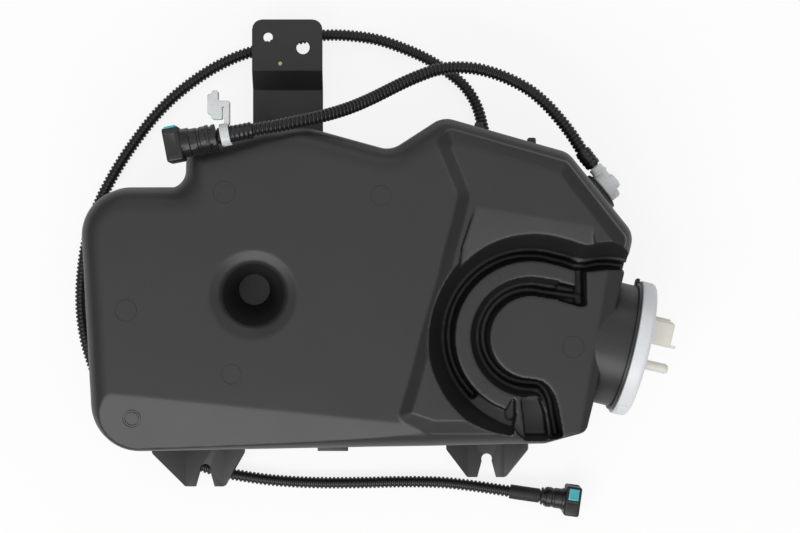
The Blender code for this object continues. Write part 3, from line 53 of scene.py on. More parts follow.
PHOTO_WIDTH = 800
PIXEL = 0.65 * MM          # size of a photo pixel at the parting plane
PARTING_Z = 58 * MM
CAMERA_RISE = 1.1          # camera above the parting plane

BACK_Z = 12 * MM
FRONT_Z = 105 * MM
MESA_Z = 110.5 * MM
DRAFT = 1.5 * MM            # how far the side walls stand out at the parting plane
PLATEAU_Z = 95 * MM
CORNER_STEP = math.radians(4)
LOW_FACET_FALL = 0.26       # metres down for each metre beyond its crease

# Plan outline of the side walls: corner x, corner y, fillet radius, in millimetres
OUTLINE = [
    (-193.3, -117.2, 31), (91.3, -111.8, 12), (117.6, -104.5, 7), (147.6, 20.6, 14),
    (106.1, 72.0, 14), (27.2, 94.5, 14), (-5.7, 73.3, 14), (-59.4, 88.1, 39),
    (-87.2, 85.9, 58), (-134.9, 73.6, 8), (-135.2, 49.6, 11), (-202.4, 49.4, 30),
]
MESA_FOOT = [
    (22, 76), (35, 44), (32.5, 33), (26, 9), (22, -8), (12.5, -40), (5, -70), (-3, -96),
    (20, -104), (112, -104), (124, -70), (141, 18), (104, 65), (30, 86),
]
CONE_LIP = (-91.5 * MM, -17.7 * MM)
CONE_FLOOR = (-95.0 * MM, -14.5 * MM)

# Double channel about the boss: radii of its walls and the ledges half way up
CHANNEL = (82.5 * MM, -44.5 * MM)
BOSS_R = 25.8 * MM
INNER_LEDGE_R = 33.0 * MM
RIDGE_INNER_R = 38.0 * MM
RIDGE_OUTER_R = 47.8 * MM
OUTER_LEDGE_R = 54.8 * MM
RIM_R = 63.5 * MM
LEDGE_W = 1.8 * MM
OUTER_FLOOR_Z = 70 * MM
INNER_FLOOR_Z = 72 * MM
GROOVE_SETBACK = 0.5 * MM   # of a deep groove's inner wall from that of the wider cut above it
OUTER_TURN = (228, 72)      # angles of the outer groove's round part, in degrees
RAMP_TURN = (259, 228)      # angles of the ledge's climb at its closed end
PLATEAU_TURN = (254, 72)    # angles of the lowered field's edge
INNER_TURN = (74, 268)      # angles of the inner groove's round part
INNER_START = [(115.6, -19.0), (100.5, -17.0)]
INNER_LEDGE_START = [(99.3, -16.8)]
OUTER_TAIL = [(105.5, 3.3), (112.5, 0.3), (119.0, 0.5), (126.5, 2.0), (134.0, 2.0),
              (142.0, 0.8), (158.0, -4.0)]
INNER_TAIL = [(88.5, -75.2), (92.6, -79.5), (95.0, -85.0), (96.3, -92.0), (97.8, -100.0),
              (99.2, -108.0)]
PLATEAU_REST = [(112.5, 0.3), (119.0, 0.6), (126.5, 2.1), (134.0, 2.1), (160.0, -4.0),
                (165.0, -90.0), (131.0, -128.0), (107.5, -128.0), (106.0, -109.0),
                (95.0, -109.6), (79.0, -109.2), (73.0, -104.0)]
NECK_FIELD = [(118.2, -76.5), (113.5, -104.0), (121.0, -128.0), (170.0, -128.0), (170.0, 0.0),
              (131.6, 1.6)]
NECK_CREASE = [(117.6, -80.0), (131.2, -1.0)]
NECK_FALL = 0.42
LOW_CREASE = [(-215.0, -75.6), (60.0, -103.5)]
HIGH_CREASE = [(46.5, 37.2), (120.0, 25.0)]
HIGH_FALL = 0.20
HIGH_REST = [(122, 4), (100, -5), (60, -20), (36, -6), (38, 12)]
VENT_RECESS = [(52, 48), (84, 48), (84, 76), (72, 106), (44, 106), (52, 76)]
VENT_RECESS_Z = 24 * MM

# Pockets beside the channel: plan in millimetres and height of the floor
CHANNEL_POCKETS = [
    ([(111.2, -24.6), (116.8, -24.6), (116.4, 1.0), (111.0, 1.0)], 72.6),
    ([(99.5, -20.8), (112.5, -24.4), (112.5, -13.6), (99.5, -10.4)], 73.2),
    ([(65.6, -92.5), (70.8, -83.4), (72.3, -83.4), (72.3, -97.0), (67.0, -97.0)], 86.0),
    ([(76.2, -83.0), (88.2, -83.0), (91.6, -92.0), (93.8, -107.5), (79.2, -107.5)], 76.0),
]

NECK_CENTRE = Vector((146.2, -52.0, 58.0)) * MM
NECK_ANGLE = math.radians(-13.5)
ELBOW_SPOT = (68, 62)
SCREW_SPOTS = [(-88, 64), (-63.5, 64), (-138.5, -84), (-125, -84), (52.5, -84), (65, -84)]

# Routes of the two hoses between their fittings
FILL_ROUTE = [
    (110.5, 88.0, 54.0), (98.2, 103.5, 51.0), (85.8, 114.9, 49.0),
    (73.3, 122.1, 48.0), (60.9, 127.0, 48.0), (48.4, 129.8, 49.0), (36.0, 130.2, 50.5),
    (23.5, 128.2, 53.5), (10.8, 123.2, 58.0), (-2.0, 116.8, 64.0), (-14.2, 109.8, 71.5),
    (-26.3, 103.4, 79.5), (-38.0, 98.3, 87.5), (-50.0, 94.3, 94.5), (-62.0, 91.2, 99.8),
    (-75.0, 88.0, 103.8), (-88.0, 85.5, 106.8),
]
VENT_ROUTE = [
    (57.3, 95.1, 6.8), (53.2, 107.0, 5.0), (47.7, 117.6, 4.4), (40.2, 126.5, 4.4),
    (24.5, 138.0, 4.4), (11.2, 144.9, 4.4), (-2.0, 150.3, 4.4), (-15.0, 154.4, 4.4),
    (-40.9, 157.8, 4.4), (-66.1, 155.8, 4.4), (-89.3, 149.8, 4.4), (-114.5, 141.5, 4.4),
    (-140.4, 126.5, 4.4), (-166.3, 103.3, 4.4), (-192.9, 66.5, 4.4), (-210.0, 30.3, 4.4),
    (-216.8, -6.5, 4.4), (-216.3, -38.9, 4.4), (-208.9, -68.2, 4.4), (-195.0, -98.0, 4.4),
    (-165.0, -121.5, 4.4), (-132.9, -136.7, 4.4), (-101.6, -143.7, 4.4), (-68.9, -146.9, 4.4),
    (-34.0, -147.4, 4.4), (2.7, -146.7, 4.4), (31.4, -147.4, 4.4), (60.0, -150.8, 6.2),
]


class Term:
    """A shader socket that takes part in Python arithmetic."""

    def __init__(self, graph: "Graph", socket: bpy.types.NodeSocket) -> None:
        """Keep the graph that grows and the socket that holds the value."""
        self.graph = graph
        self.socket = socket

    def math(self, operation: str, other: "Term | float") -> "Term":
        """Add a Math node on this value and another.

        Args:
            operation: Name of the Math node's operation.
            other: The second operand.

        Returns:
            The result as a new term.
        """
        return self.graph.node("ShaderNodeMath", {"operation": operation}, {0: self, 1: other})

    def __add__(self, other: "Term | float") -> "Term":
        """Sum."""
        return self.math("ADD", other)

    def __mul__(self, other: "Term | float") -> "Term":
        """Product."""
        return self.math("MULTIPLY", other)

    def within(self, low: float, high: float) -> "Term":
        """Share of the way from low to high, held between 0 and 1.

        Args:
            low: Value that gives 0.
            high: Value that gives 1.

        Returns:
            The share as a smooth step.
        """
        return self.graph.node("ShaderNodeMapRange", {"interpolation_type": "SMOOTHSTEP"},
                               {"Value": self, "From Min": low, "From Max": high})

    __radd__ = __add__
    __rmul__ = __mul__


class Graph:
    """A node tree under construction."""

    def __init__(self, tree: bpy.types.NodeTree) -> None:
        """Start with an empty tree."""
        self.tree = tree
        self.tree.nodes.clear()

    def node(self, kind: str, settings: dict | None = None, values: dict | None = None,
             output: int | str = 0) -> Term | None:
        """Add one node.

        Args:
            kind: Type of the node.
            settings: Properties, set first.
            values: Values or terms for its input sockets, by name or index.
            output: The output to return.

        Returns:
            The chosen output as a term, or None for a node without outputs.
        """
        node = self.tree.nodes.new(kind)
        for key, value in (settings or {}).items():
            setattr(node, key, value)
        for key, value in (values or {}).items():
            if isinstance(value, Term):
                self.tree.links.new(value.socket, node.inputs[key])
            else:
                node.inputs[key].default_value = value
        return Term(self, node.outputs[output]) if len(node.outputs) else None

    def by_ray(self, ray: str, other: Term | float, seen: Term | float) -> Term:
        """A value that differs for one kind of ray.

        Args:
            ray: Output of the Light Path node that tells the ray.
            other: The value for all other rays.
            seen: The value for that ray.

        Returns:
            The value.
        """
        kind = self.node("ShaderNodeLightPath", output=ray)
        return self.node("ShaderNodeMapRange", None,
                         {"Value": kind, "To Min": other, "To Max": seen})


class Paint(Graph):
    """One procedural material under construction."""

    def __init__(self, name: str, roughness: float, metallic: float = 0.0, coat: float = 0.0,
                 subsurface: float = 0.0) -> None:
        """Start a material with the values that are the same all over.

        Args:
            name: Name of the material.
            roughness: Plain roughness.
            metallic: Plain metallic value.
            coat: Weight of a clear coat.
            subsurface: Weight of light that passes below the surface.
        """
        self.material = bpy.data.materials.new(name)
        self.material.use_nodes = True
        super().__init__(self.material.node_tree)
        self.shader = self.tree.nodes.new("ShaderNodeBsdfPrincipled")
        out = self.tree.nodes.new("ShaderNodeOutputMaterial")
        self.tree.links.new(self.shader.outputs[0], out.inputs["Surface"])
        for socket, value in (("Roughness", roughness), ("Metallic", metallic),
                              ("Coat Weight", coat), ("Coat Roughness", 0.3),
                              ("Subsurface Weight", subsurface), ("Subsurface Scale", 0.004)):
            self.shader.inputs[socket].default_value = value
        self.place = self.node("ShaderNodeTexCoord", output="Object")

    def noise(self, size: float, detail: float = 2.0, stretch: tuple = (1, 1, 1)) -> Term:
        """Noise from 0 to 1 whose features have about a given size.

        Args:
            size: Size of a feature in metres.
            detail: Octaves.
            stretch: Scale along each axis.

        Returns:
            The noise's value.
        """
        at = self.place
        if stretch != (1, 1, 1):
            at = self.node("ShaderNodeMapping", None, {"Vector": at, "Scale": stretch})
        return self.node("ShaderNodeTexNoise", None,
                         {"Vector": at, "Scale": 1.0 / size, "Detail": detail})

    def mix(self, share: Term | float, first: tuple | Term, second: tuple | Term) -> Term:
        """Blend two colours."""
        def colour(value: tuple | Term) -> tuple | Term:
            return (*value, 1.0) if isinstance(value, tuple) else value
        return self.node("ShaderNodeMix", {"data_type": "RGBA"},
                         {0: share, 6: colour(first), 7: colour(second)}, 2)

    def bump(self, height: Term, depth: float) -> None:
        """Feed a Bump node to the shader's normal.

        Args:
            height: Height from 0 to 1.
            depth: Real height of the relief in metres.
        """
        normal = self.node("ShaderNodeBump", None,
                           {"Height": height, "Distance": depth, "Strength": 1.0})
        self.tree.links.new(normal.socket, self.shader.inputs["Normal"])

    def feed(self, **sockets: Term) -> None:
        """Link sockets of the shader, their names written with underscores."""
        for name, value in sockets.items():
            socket = self.shader.inputs[name.replace("_", " ").title()]
            self.tree.links.new(value.socket, socket)


@dataclass
class Studio:
    """Camera, lamps, world and floor.

    Attributes:
        sensor: Width of the camera's sensor in millimetres.
        floor_size: Side of the square floor in metres.
        floor_drop: Depth of the floor below the table plane, so nothing is coplanar with it.
        floor_colour: Its colour in each channel.
        floor_glow: How white the camera sees it.
        floor_gloss: How much of that white shows in reflections.
        horizon: Strength of the surroundings at the horizon.
        zenith: Their strength overhead, for diffuse light.
        zenith_gloss: Their strength overhead in reflections.
        dawn: Height at which they start to brighten, from 0 at the horizon to 1 overhead.
    """

    sensor: float = 36.0
    floor_size: float = 8.0
    floor_drop: float = 0.0004
    floor_colour: float = 0.86
    floor_glow: float = 0.85
    floor_gloss: float = 0.3
    horizon: float = 0.05
    zenith: float = 1.0
    zenith_gloss: float = 0.95
    dawn: float = 0.15

    def build(self) -> None:
        """Make the camera, the lamps, the world and the floor."""
        self.camera()
        self.lamp("lamp_low", (-0.35, -1.1, 1.35), (1.8, 0.8), 18)
        self.lamp("lamp_high", (0.3, 1.5, 0.9), (2.0, 0.5), 4)
        self.world()
        self.floor()

    def camera(self) -> None:
        """Place the camera straight above the tank, framed as the photograph is."""
        data = bpy.data.cameras.new("camera")
        data.sensor_width = self.sensor
        data.lens = self.sensor * CAMERA_RISE / (PHOTO_WIDTH * PIXEL)
        data.clip_start, data.clip_end = 0.05, 20.0
        camera = bpy.data.objects.new("camera", data)
        camera.location = (0.0, 0.0, PARTING_Z + CAMERA_RISE)
        bpy.context.scene.collection.objects.link(camera)
        bpy.context.scene.camera = camera

    @staticmethod
    def lamp(name: str, place: tuple, size: tuple, power: float) -> None:
        """Add one rectangular soft lamp that faces the tank.

        Args:
            name: Name of the lamp.
            place: Its centre in metres.
            size: Width and height in metres.
            power: Power in watts.
        """
        data = bpy.data.lights.new(name, "AREA")
        data.shape = "RECTANGLE"
        data.size, data.size_y = size
        data.energy = power
        item = bpy.data.objects.new(name, data)
        item.location = place
        item.rotation_mode = "QUATERNION"
        aim = Vector((0, 0, 0.05)) - Vector(place)
        item.rotation_quaternion = aim.to_track_quat("-Z", "Y")
        bpy.context.scene.collection.objects.link(item)

    def world(self) -> None:
        """Surround the tank with pale light, brighter overhead, that the camera sees as white."""
        world = bpy.data.worlds.new("studio")
        bpy.context.scene.world = world
        world.use_nodes = True
        graph = Graph(world.node_tree)
        aim = graph.node("ShaderNodeTexCoord", output="Generated")
        height = graph.node("ShaderNodeSeparateXYZ", None, {"Vector": aim}, "Z")
        rise = {"Value": height, "From Min": self.dawn, "From Max": 1.0, "To Min": self.horizon}
        strength = graph.node("ShaderNodeMapRange", None, {**rise, "To Max": self.zenith})
        gloss = graph.node("ShaderNodeMapRange", None, {**rise, "To Max": self.zenith_gloss})
        strength = graph.by_ray("Is Glossy Ray", strength, gloss)
        for ray in ("Is Transmission Ray", "Is Camera Ray"):
            strength = graph.by_ray(ray, strength, 1.0)
        back = graph.node("ShaderNodeBackground", None,
                          {"Color": (1, 1, 1, 1), "Strength": strength})
        graph.node("ShaderNodeOutputWorld", None, {"Surface": back})

    def floor(self) -> None:
        """Lay a pale floor that keeps a faint shadow and shows as white."""
        bpy.ops.object.select_all(action="DESELECT")
        bpy.ops.mesh.primitive_plane_add(size=self.floor_size, location=(0, 0, -self.floor_drop))
        floor = bpy.context.object
        floor.name = "floor"
        material = bpy.data.materials.new("pale_floor")
        material.use_nodes = True
        graph = Graph(material.node_tree)
        glow = graph.by_ray("Is Glossy Ray", 0.0, self.floor_gloss)
        glow = graph.by_ray("Is Camera Ray", glow, self.floor_glow)
        pale = graph.node("ShaderNodeBsdfDiffuse", None,
                          {"Color": (*[self.floor_colour] * 3, 1)})
        mixed = graph.node("ShaderNodeMixShader", None,
                           {"Fac": glow, 1: pale, 2: graph.node("ShaderNodeEmission")})
        graph.node("ShaderNodeOutputMaterial", None, {"Surface": mixed})
        floor.data.materials.append(material)


@dataclass(frozen=True)
class Finish:
    """Moulded or coated surface with mottled colour, fine grain and uneven gloss.

    Attributes:
        name: Name of the material.
        slot: Slot of the record that it stands for; not used.
        colour: Main colour.
        roughness: Middle of the roughness.
        metallic: Metallic value.
        grain: Size of the grain in metres.
        relief: Depth of the grain in metres.
        mottle: How far the colour varies, as a share.
        gloss_play: How far the roughness varies.
        coat: Weight of a clear coat.
        subsurface: Weight of light that passes below the surface.
    """

    name: str
    slot: str
    colour: tuple
    roughness: float
    metallic: float = 0.0
    grain: float = 0.0008
    relief: float = 0.00002
    mottle: float = 0.08
    gloss_play: float = 0.08
    coat: float = 0.0
    subsurface: float = 0.0

    def shade(self, share: float) -> tuple:
        """The main colour, lighter or darker by a share."""
        return tuple(min(channel * share, 1.0) for channel in self.colour)

    def paint(self) -> Paint:
        """Build the material's common nodes."""
        paint = Paint(self.name, self.roughness, self.metallic, self.coat, self.subsurface)
        cloud = paint.noise(0.03, 3.0)
        grain = paint.noise(self.grain, 2.0)
        tone = cloud * 0.6 + grain * 0.4
        paint.feed(base_color=paint.mix(tone.within(0.25, 0.75), self.shade(1 - self.mottle),
                                        self.shade(1 + self.mottle)),
                   roughness=cloud * self.gloss_play + (self.roughness - self.gloss_play / 2))
        paint.bump(grain, self.relief)
        return paint

    def material(self) -> bpy.types.Material:
        """The finished material."""
        return self.paint().material


@dataclass(frozen=True)
class MouldedShell(Finish):
    """Blow-moulded polyethylene with two sizes of grain and light scuffs."""

    def material(self) -> bpy.types.Material:
        """Grain over the whole moulding, with pale scuffs where a stretched noise peaks."""
        paint = Paint(self.name, self.roughness, self.metallic, self.coat)
        cloud = paint.noise(0.05, 4.0)
        grain = paint.noise(self.grain, 3.0)
        fine = paint.noise(self.grain * 0.35, 1.0)
        scuff = paint.noise(0.006, 6.0, (1.0, 3.0, 1.0)).within(0.70, 0.78)
        tone = cloud * 0.5 + grain * 0.5
        base = paint.mix(tone.within(0.3, 0.7), self.shade(1 - self.mottle),
                         self.shade(1 + self.mottle))
        paint.feed(base_color=paint.mix(scuff * 0.16, base, self.shade(2.0)),
                   roughness=cloud * self.gloss_play + grain * 0.06 + (self.roughness - 0.07))
        paint.bump(grain * 0.7 + fine * 0.3, self.relief)
        return paint.material


@dataclass(frozen=True)
class WoundTape(Finish):
    """Shiny wound tape that follows the ridges of the hose below it."""

    def material(self) -> bpy.types.Material:
        """Gloss that breaks up along the windings."""
        paint = self.paint()
        wrinkle = paint.noise(0.0025, 4.0)
        paint.bump(wrinkle, 0.00012)
        paint.feed(roughness=wrinkle.within(0.3, 0.8) * 0.3 + 0.18)
        return paint.material


class Look(Enum):
    """Finishes of the tank's pieces."""

    SHELL = MouldedShell("moulded_polyethylene", "tank_plastic", (0.018, 0.0175, 0.018), 0.42,
                         grain=0.0011, relief=0.00006, mottle=0.09, gloss_play=0.08)
    STEEL = Finish("electro_coated_steel", "coated_steel", (0.018, 0.017, 0.0175), 0.42, 0.0,
                   grain=0.0016, relief=0.00003, mottle=0.10, gloss_play=0.12)
    ZINC = Finish("zinc_plated_screw", "screw_zinc", (0.55, 0.56, 0.58), 0.35, 1.0, mottle=0.12)
    WHITE = Finish("natural_nylon", "white_nylon", (0.68, 0.70, 0.72), 0.36, grain=0.002,
                   relief=0.00002, mottle=0.03, subsurface=0.15)
    CLEAR = Finish("translucent_clip", "white_nylon", (0.60, 0.62, 0.63), 0.28, grain=0.002,
                   relief=0.00002, mottle=0.05, subsurface=0.3)
    IVORY = Finish("ivory_nylon", "ivory_nylon", (0.74, 0.72, 0.66), 0.38, grain=0.0015,
                   relief=0.00002, mottle=0.04, subsurface=0.12)
    BLACK = Finish("black_nylon", "black_nylon", (0.010, 0.010, 0.011), 0.36, grain=0.0009,
                   relief=0.00003, mottle=0.15)
    TEAL = Finish("teal_button", "teal_plastic", (0.055, 0.38, 0.44), 0.34, grain=0.0012,
                  relief=0.00002, mottle=0.06)
    RUBBER = Finish("black_rubber", "rubber", (0.010, 0.010, 0.011), 0.6, grain=0.0007,
                    relief=0.00003, mottle=0.15)
    TAPE = WoundTape("wound_tape", "rubber", (0.009, 0.009, 0.010), 0.3, grain=0.001,
                     mottle=0.15)
    HOSE = Finish("corrugated_polyamide", "hose_black", (0.008, 0.008, 0.009), 0.36,
                  grain=0.0009, relief=0.00002, mottle=0.15)
    CAN = Finish("pump_can", "pump_steel", (0.5, 0.5, 0.5), 0.3, 1.0, grain=0.001, mottle=0.06)
    MESH = Finish("woven_strainer", "strainer_mesh", (0.66, 0.66, 0.64), 0.7, grain=0.0006,
                  relief=0.0001, mottle=0.25)
    TIN = Finish("tinned_pin", "pin_metal", (0.8, 0.72, 0.5), 0.3, 1.0, grain=0.0004,
                 mottle=0.08)
    GREEN = Finish("paint_dot", "coated_steel", (0.45, 0.62, 0.22), 0.45, grain=0.001,
                   mottle=0.12)


MATERIALS: dict = {}


def dress(piece: bpy.types.Object, look: Look) -> None:
    """Give a piece its finish, made once and shared."""
    if look not in MATERIALS:
        MATERIALS[look] = look.value.material()
    piece.data.materials.clear()
    piece.data.materials.append(MATERIALS[look])


def only(piece: bpy.types.Object) -> None:
    """Select one piece and make it active."""
    bpy.ops.object.select_all(action="DESELECT")
    bpy.context.view_layer.objects.active = piece
    piece.select_set(True)


def settled(piece: bpy.types.Object, angle: float = 40.0) -> bpy.types.Object:
    """Apply a piece's modifiers and shade it.

    Args:
        piece: The piece.
        angle: Edges sharper than this stay sharp, in degrees.

    Returns:
        The same piece.
    """
    only(piece)
    for modifier in list(piece.modifiers):
        bpy.ops.object.modifier_apply(modifier=modifier.name)
    bpy.ops.object.shade_smooth_by_angle(angle=math.radians(angle))
    return piece


def piece_from(name: str, shape: bmesh.types.BMesh) -> bpy.types.Object:
    """Turn a bmesh into a linked object at the origin."""
    mesh = bpy.data.meshes.new(name)
    shape.to_mesh(mesh)
    shape.free()
    piece = bpy.data.objects.new(name, mesh)
    bpy.context.scene.collection.objects.link(piece)
    return piece


def modified(piece: bpy.types.Object, kind: str, **settings: object) -> bpy.types.Object:
    """Add and apply one modifier.

    Args:
        piece: The piece.
        kind: Type of the modifier.
        settings: Its properties.

    Returns:
        The same piece.
    """
    modifier = piece.modifiers.new(kind.lower(), kind)
    for key, value in settings.items():
        setattr(modifier, key, value)
    only(piece)
    bpy.ops.object.modifier_apply(modifier=modifier.name)
    return piece


def combine(piece: bpy.types.Object, tool: bpy.types.Object, operation: str = "DIFFERENCE") -> None:
    """Cut with, or add, a closed tool, which is then removed."""
    modified(piece, "BOOLEAN", solver="MANIFOLD", operation=operation, object=tool)
    bpy.data.objects.remove(tool, do_unlink=True)


def weld(piece: bpy.types.Object, part: bpy.types.Object) -> None:
    """Unite a closed part with a piece."""
    combine(piece, part, "UNION")


def place(piece: bpy.types.Object, body: str, look: Look, nodes: tuple = ()) -> None:
    """Dress a finished piece, put it on its body and let it stand for its CAD nodes.

    Args:
        piece: The piece.
        body: Name of the CAD body.
        look: Its finish.
        nodes: CAD nodes that it replaces.
    """
    dress(piece, look)
    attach(piece, body)
    if nodes:
        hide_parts(*nodes)
    LOG.info("%s: %d faces", piece.name, len(piece.data.polygons))


def skinned(name: str, rings: list) -> bpy.types.Object:
    """Skin a stack of closed rings of equal count, with flat ends.

    Args:
        name: Name of the piece.
        rings: Lists of points.

    Returns:
        The piece.
    """
    shape = bmesh.new()
    rows = [[shape.verts.new(point) for point in ring] for ring in rings]
    count = len(rings[0])
    for lower, upper in zip(rows, rows[1:]):
        for i in range(count):
            j = (i + 1) % count
            shape.faces.new((lower[i], lower[j], upper[j], upper[i]))
    shape.faces.new(rows[0][::-1])
    shape.faces.new(rows[-1])
    bmesh.ops.recalc_face_normals(shape, faces=shape.faces)
    bmesh.ops.triangulate(shape, faces=shape.faces)
    return piece_from(name, shape)


def turned(name: str, profile: list, seat: Matrix, sides: int = 96) -> bpy.types.Object:
    """Turn an (r, z) profile about a frame's Z axis.

    Args:
        name: Name of the piece.
        profile: Points down the section in millimetres; it is closed if it keeps off the axis.
        seat: Frame of the axis.
        sides: Facets round the axis.

    Returns:
        The piece.
    """
    profile = [(r * MM, z * MM) for r, z in profile]
    ring = [[(r * math.cos(math.tau * i / sides), r * math.sin(math.tau * i / sides), z)
             for i in range(sides)] for r, z in profile]
    shape = bmesh.new()
    on_axis = {k for k, (r, _) in enumerate(profile) if r == 0}
    rows = []
    for k, points in enumerate(ring):
        if k in on_axis:
            rows.append([shape.verts.new((0, 0, profile[k][1]))] * sides)
        else:
            rows.append([shape.verts.new(point) for point in points])
    pairs = list(zip(rows, rows[1:]))
    if not on_axis:
        pairs.append((rows[-1], rows[0]))
    for lower, upper in pairs:
        for i in range(sides):
            j = (i + 1) % sides
            corners = list(dict.fromkeys((lower[i], lower[j], upper[j], upper[i])))
            if len(corners) > 2:
                shape.faces.new(corners)
    bmesh.ops.recalc_face_normals(shape, faces=shape.faces)
    bmesh.ops.transform(shape, matrix=seat, verts=shape.verts)
    return piece_from(name, shape)


def rod(radius: float, low: float, high: float) -> list:
    """Profile of a plain rod for turning, in millimetres."""
    return [(0, low), (radius, low), (radius, high), (0, high)]


def box_piece(name: str, low: tuple, high: tuple, seat: Matrix = Matrix()) -> bpy.types.Object:
    """A box between two corners in a frame: a unit cube whose mesh is moved and scaled.

    Args:
        name: Name of the piece.
        low: Its lowest corner in millimetres.
        high: Its highest corner in millimetres.
        seat: Frame that the corners are given in.

    Returns:
        The piece.
    """
    low, high = Vector(low) * MM, Vector(high) * MM
    bpy.ops.object.select_all(action="DESELECT")
    bpy.ops.mesh.primitive_cube_add(size=1.0)
    piece = bpy.context.object
    piece.name = name
    piece.data.transform(seat @ Matrix.Translation((low + high) / 2)
                         @ Matrix.Diagonal((*(high - low), 1.0)))
    return piece


def rounded(piece: bpy.types.Object, width: float, segments: int = 3, angle: float = 32.0) \
        -> bpy.types.Object:
    """Round a piece's sharp edges.

    Args:
        piece: The piece.
        width: Width of the bevel in metres.
        segments: Its steps.
        angle: Edges flatter than this stay, in degrees.

    Returns:
        The same piece.
    """
    modified(piece, "BEVEL", width=width, segments=segments, limit_method="ANGLE",
             angle_limit=math.radians(angle), use_clamp_overlap=True)
    return settled(piece)


def fine_copy(node: str, width: float, segments: int = 3) -> bpy.types.Object:
    """Copy a CAD node, merge its loose triangles into flats and round its edges.

    Args:
        node: Name of the CAD node.
        width: Width of the rounding in metres.
        segments: Steps of the rounding.

    Returns:
        The new piece.
    """
    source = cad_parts[node]
    shape = bmesh.new()
    shape.from_mesh(source.data)
    bmesh.ops.transform(shape, matrix=source.matrix_world, verts=shape.verts)
    bmesh.ops.remove_doubles(shape, verts=shape.verts, dist=0.000004)
    bmesh.ops.dissolve_limit(shape, angle_limit=math.radians(0.6), verts=shape.verts,
                             edges=shape.edges)
    return rounded(piece_from(node + "_fine", shape), width, segments)


def axis_frame(origin: Vector, along: Vector, up: tuple = (0, 0, 1)) -> Matrix:
    """A frame with local Z along a direction and local X as near to up as it can be."""
    z = Vector(along).normalized()
    x = (Vector(up) - Vector(up).dot(z) * z).normalized()
    turn = Matrix((x, z.cross(x), z)).transposed().to_4x4()
    return Matrix.Translation(Vector(origin)) @ turn


def in_plane(angle: float) -> Vector:
    """Unit direction in the table plane."""
    return Vector((math.cos(angle), math.sin(angle), 0.0))


def in_mm(points: list) -> list:
    """Scale a list of points from millimetres."""
    return [Vector(p) * MM for p in points]


def level(outline: list, z: float) -> list:
    """Lift a plan outline to a height."""
    return [Vector((p.x, p.y, z)) for p in outline]


def rounded_outline(corners: list, inset: float = 0.0, unit: float = MM,
                    turn_step: float = CORNER_STEP) -> list:
    """Fillet a closed polygon after moving each side inwards.

    Args:
        corners: (x, y, radius) of each corner.
        inset: Distance that each side moves in.
        unit: Scale of the corners.
        turn_step: Turn between points of a fillet.

    Returns:
        Points of the outline, as many for every inset.
    """
    points = [Vector((x * unit, y * unit)) for x, y, _ in corners]
    count = len(points)
    sides = []
    for i in range(count):
        along = (points[(i + 1) % count] - points[i]).normalized()
        sides.append((points[i] + Vector((-along.y, along.x)) * inset, along))
    moved = []
    for i in range(count):
        (p, u), (q, v) = sides[i - 1], sides[i]
        cross = u.x * v.y - u.y * v.x
        moved.append(p + u * (((q - p).x * v.y - (q - p).y * v.x) / cross))
    outline = []
    for i in range(count):
        u, v = sides[i - 1][1], sides[i][1]
        turn = math.atan2(u.x * v.y - u.y * v.x, u.dot(v))
        reach = min((moved[i] - moved[i - 1]).length, (moved[(i + 1) % count] - moved[i]).length)
        radius = max(corners[i][2] * unit - math.copysign(inset, turn), 0.8 * MM)
        radius = min(radius, 0.47 * reach / math.tan(abs(turn) / 2))
        start = moved[i] - u * radius * math.tan(abs(turn) / 2)
        centre = start + Vector((-u.y, u.x)) * math.copysign(radius, turn)
        steps = max(1, math.ceil(abs(turn) / turn_step))
        for step in range(steps + 1):
            arm = start - centre
            arm.rotate(Matrix.Rotation(turn * step / steps, 2))
            outline.append(centre + arm)
    return outline


def circle(centre: tuple, radius: float, z: float, sides: int) -> list:
    """Points of a level circle."""
    return [Vector((centre[0] + radius * math.cos(math.tau * i / sides),
                    centre[1] + radius * math.sin(math.tau * i / sides), z))
            for i in range(sides)]


def smooth_route(knots: list, spacing: float) -> list:
    """Sample a Catmull-Rom curve through knots at an even spacing.

    Args:
        knots: Points that the curve passes.
        spacing: Distance between samples.

    Returns:
        The samples, with both ends.
    """
    knots = [Vector(k) for k in knots]
    padded = [2 * knots[0] - knots[1], *knots, 2 * knots[-1] - knots[-2]]
    fine = []
    for a, b, c, d in zip(padded, padded[1:], padded[2:], padded[3:]):
        for step in range(12):
            t = step / 12
            fine.append(0.5 * (2 * b + (c - a) * t + (2 * a - 5 * b + 4 * c - d) * t * t
                               + (3 * b - 3 * c + d - a) * t ** 3))
    fine.append(knots[-1])
    total = sum((q - p).length for p, q in zip(fine, fine[1:]))
    count = max(3, round(total / spacing))
    picked, walked, target = [fine[0]], 0.0, total / count
    for p, q in zip(fine, fine[1:]):
        length = (q - p).length
        while walked + length >= target and len(picked) < count:
            picked.append(p.lerp(q, (target - walked) / length))
            target += total / count
        walked += length
    picked.append(fine[-1])
    return picked


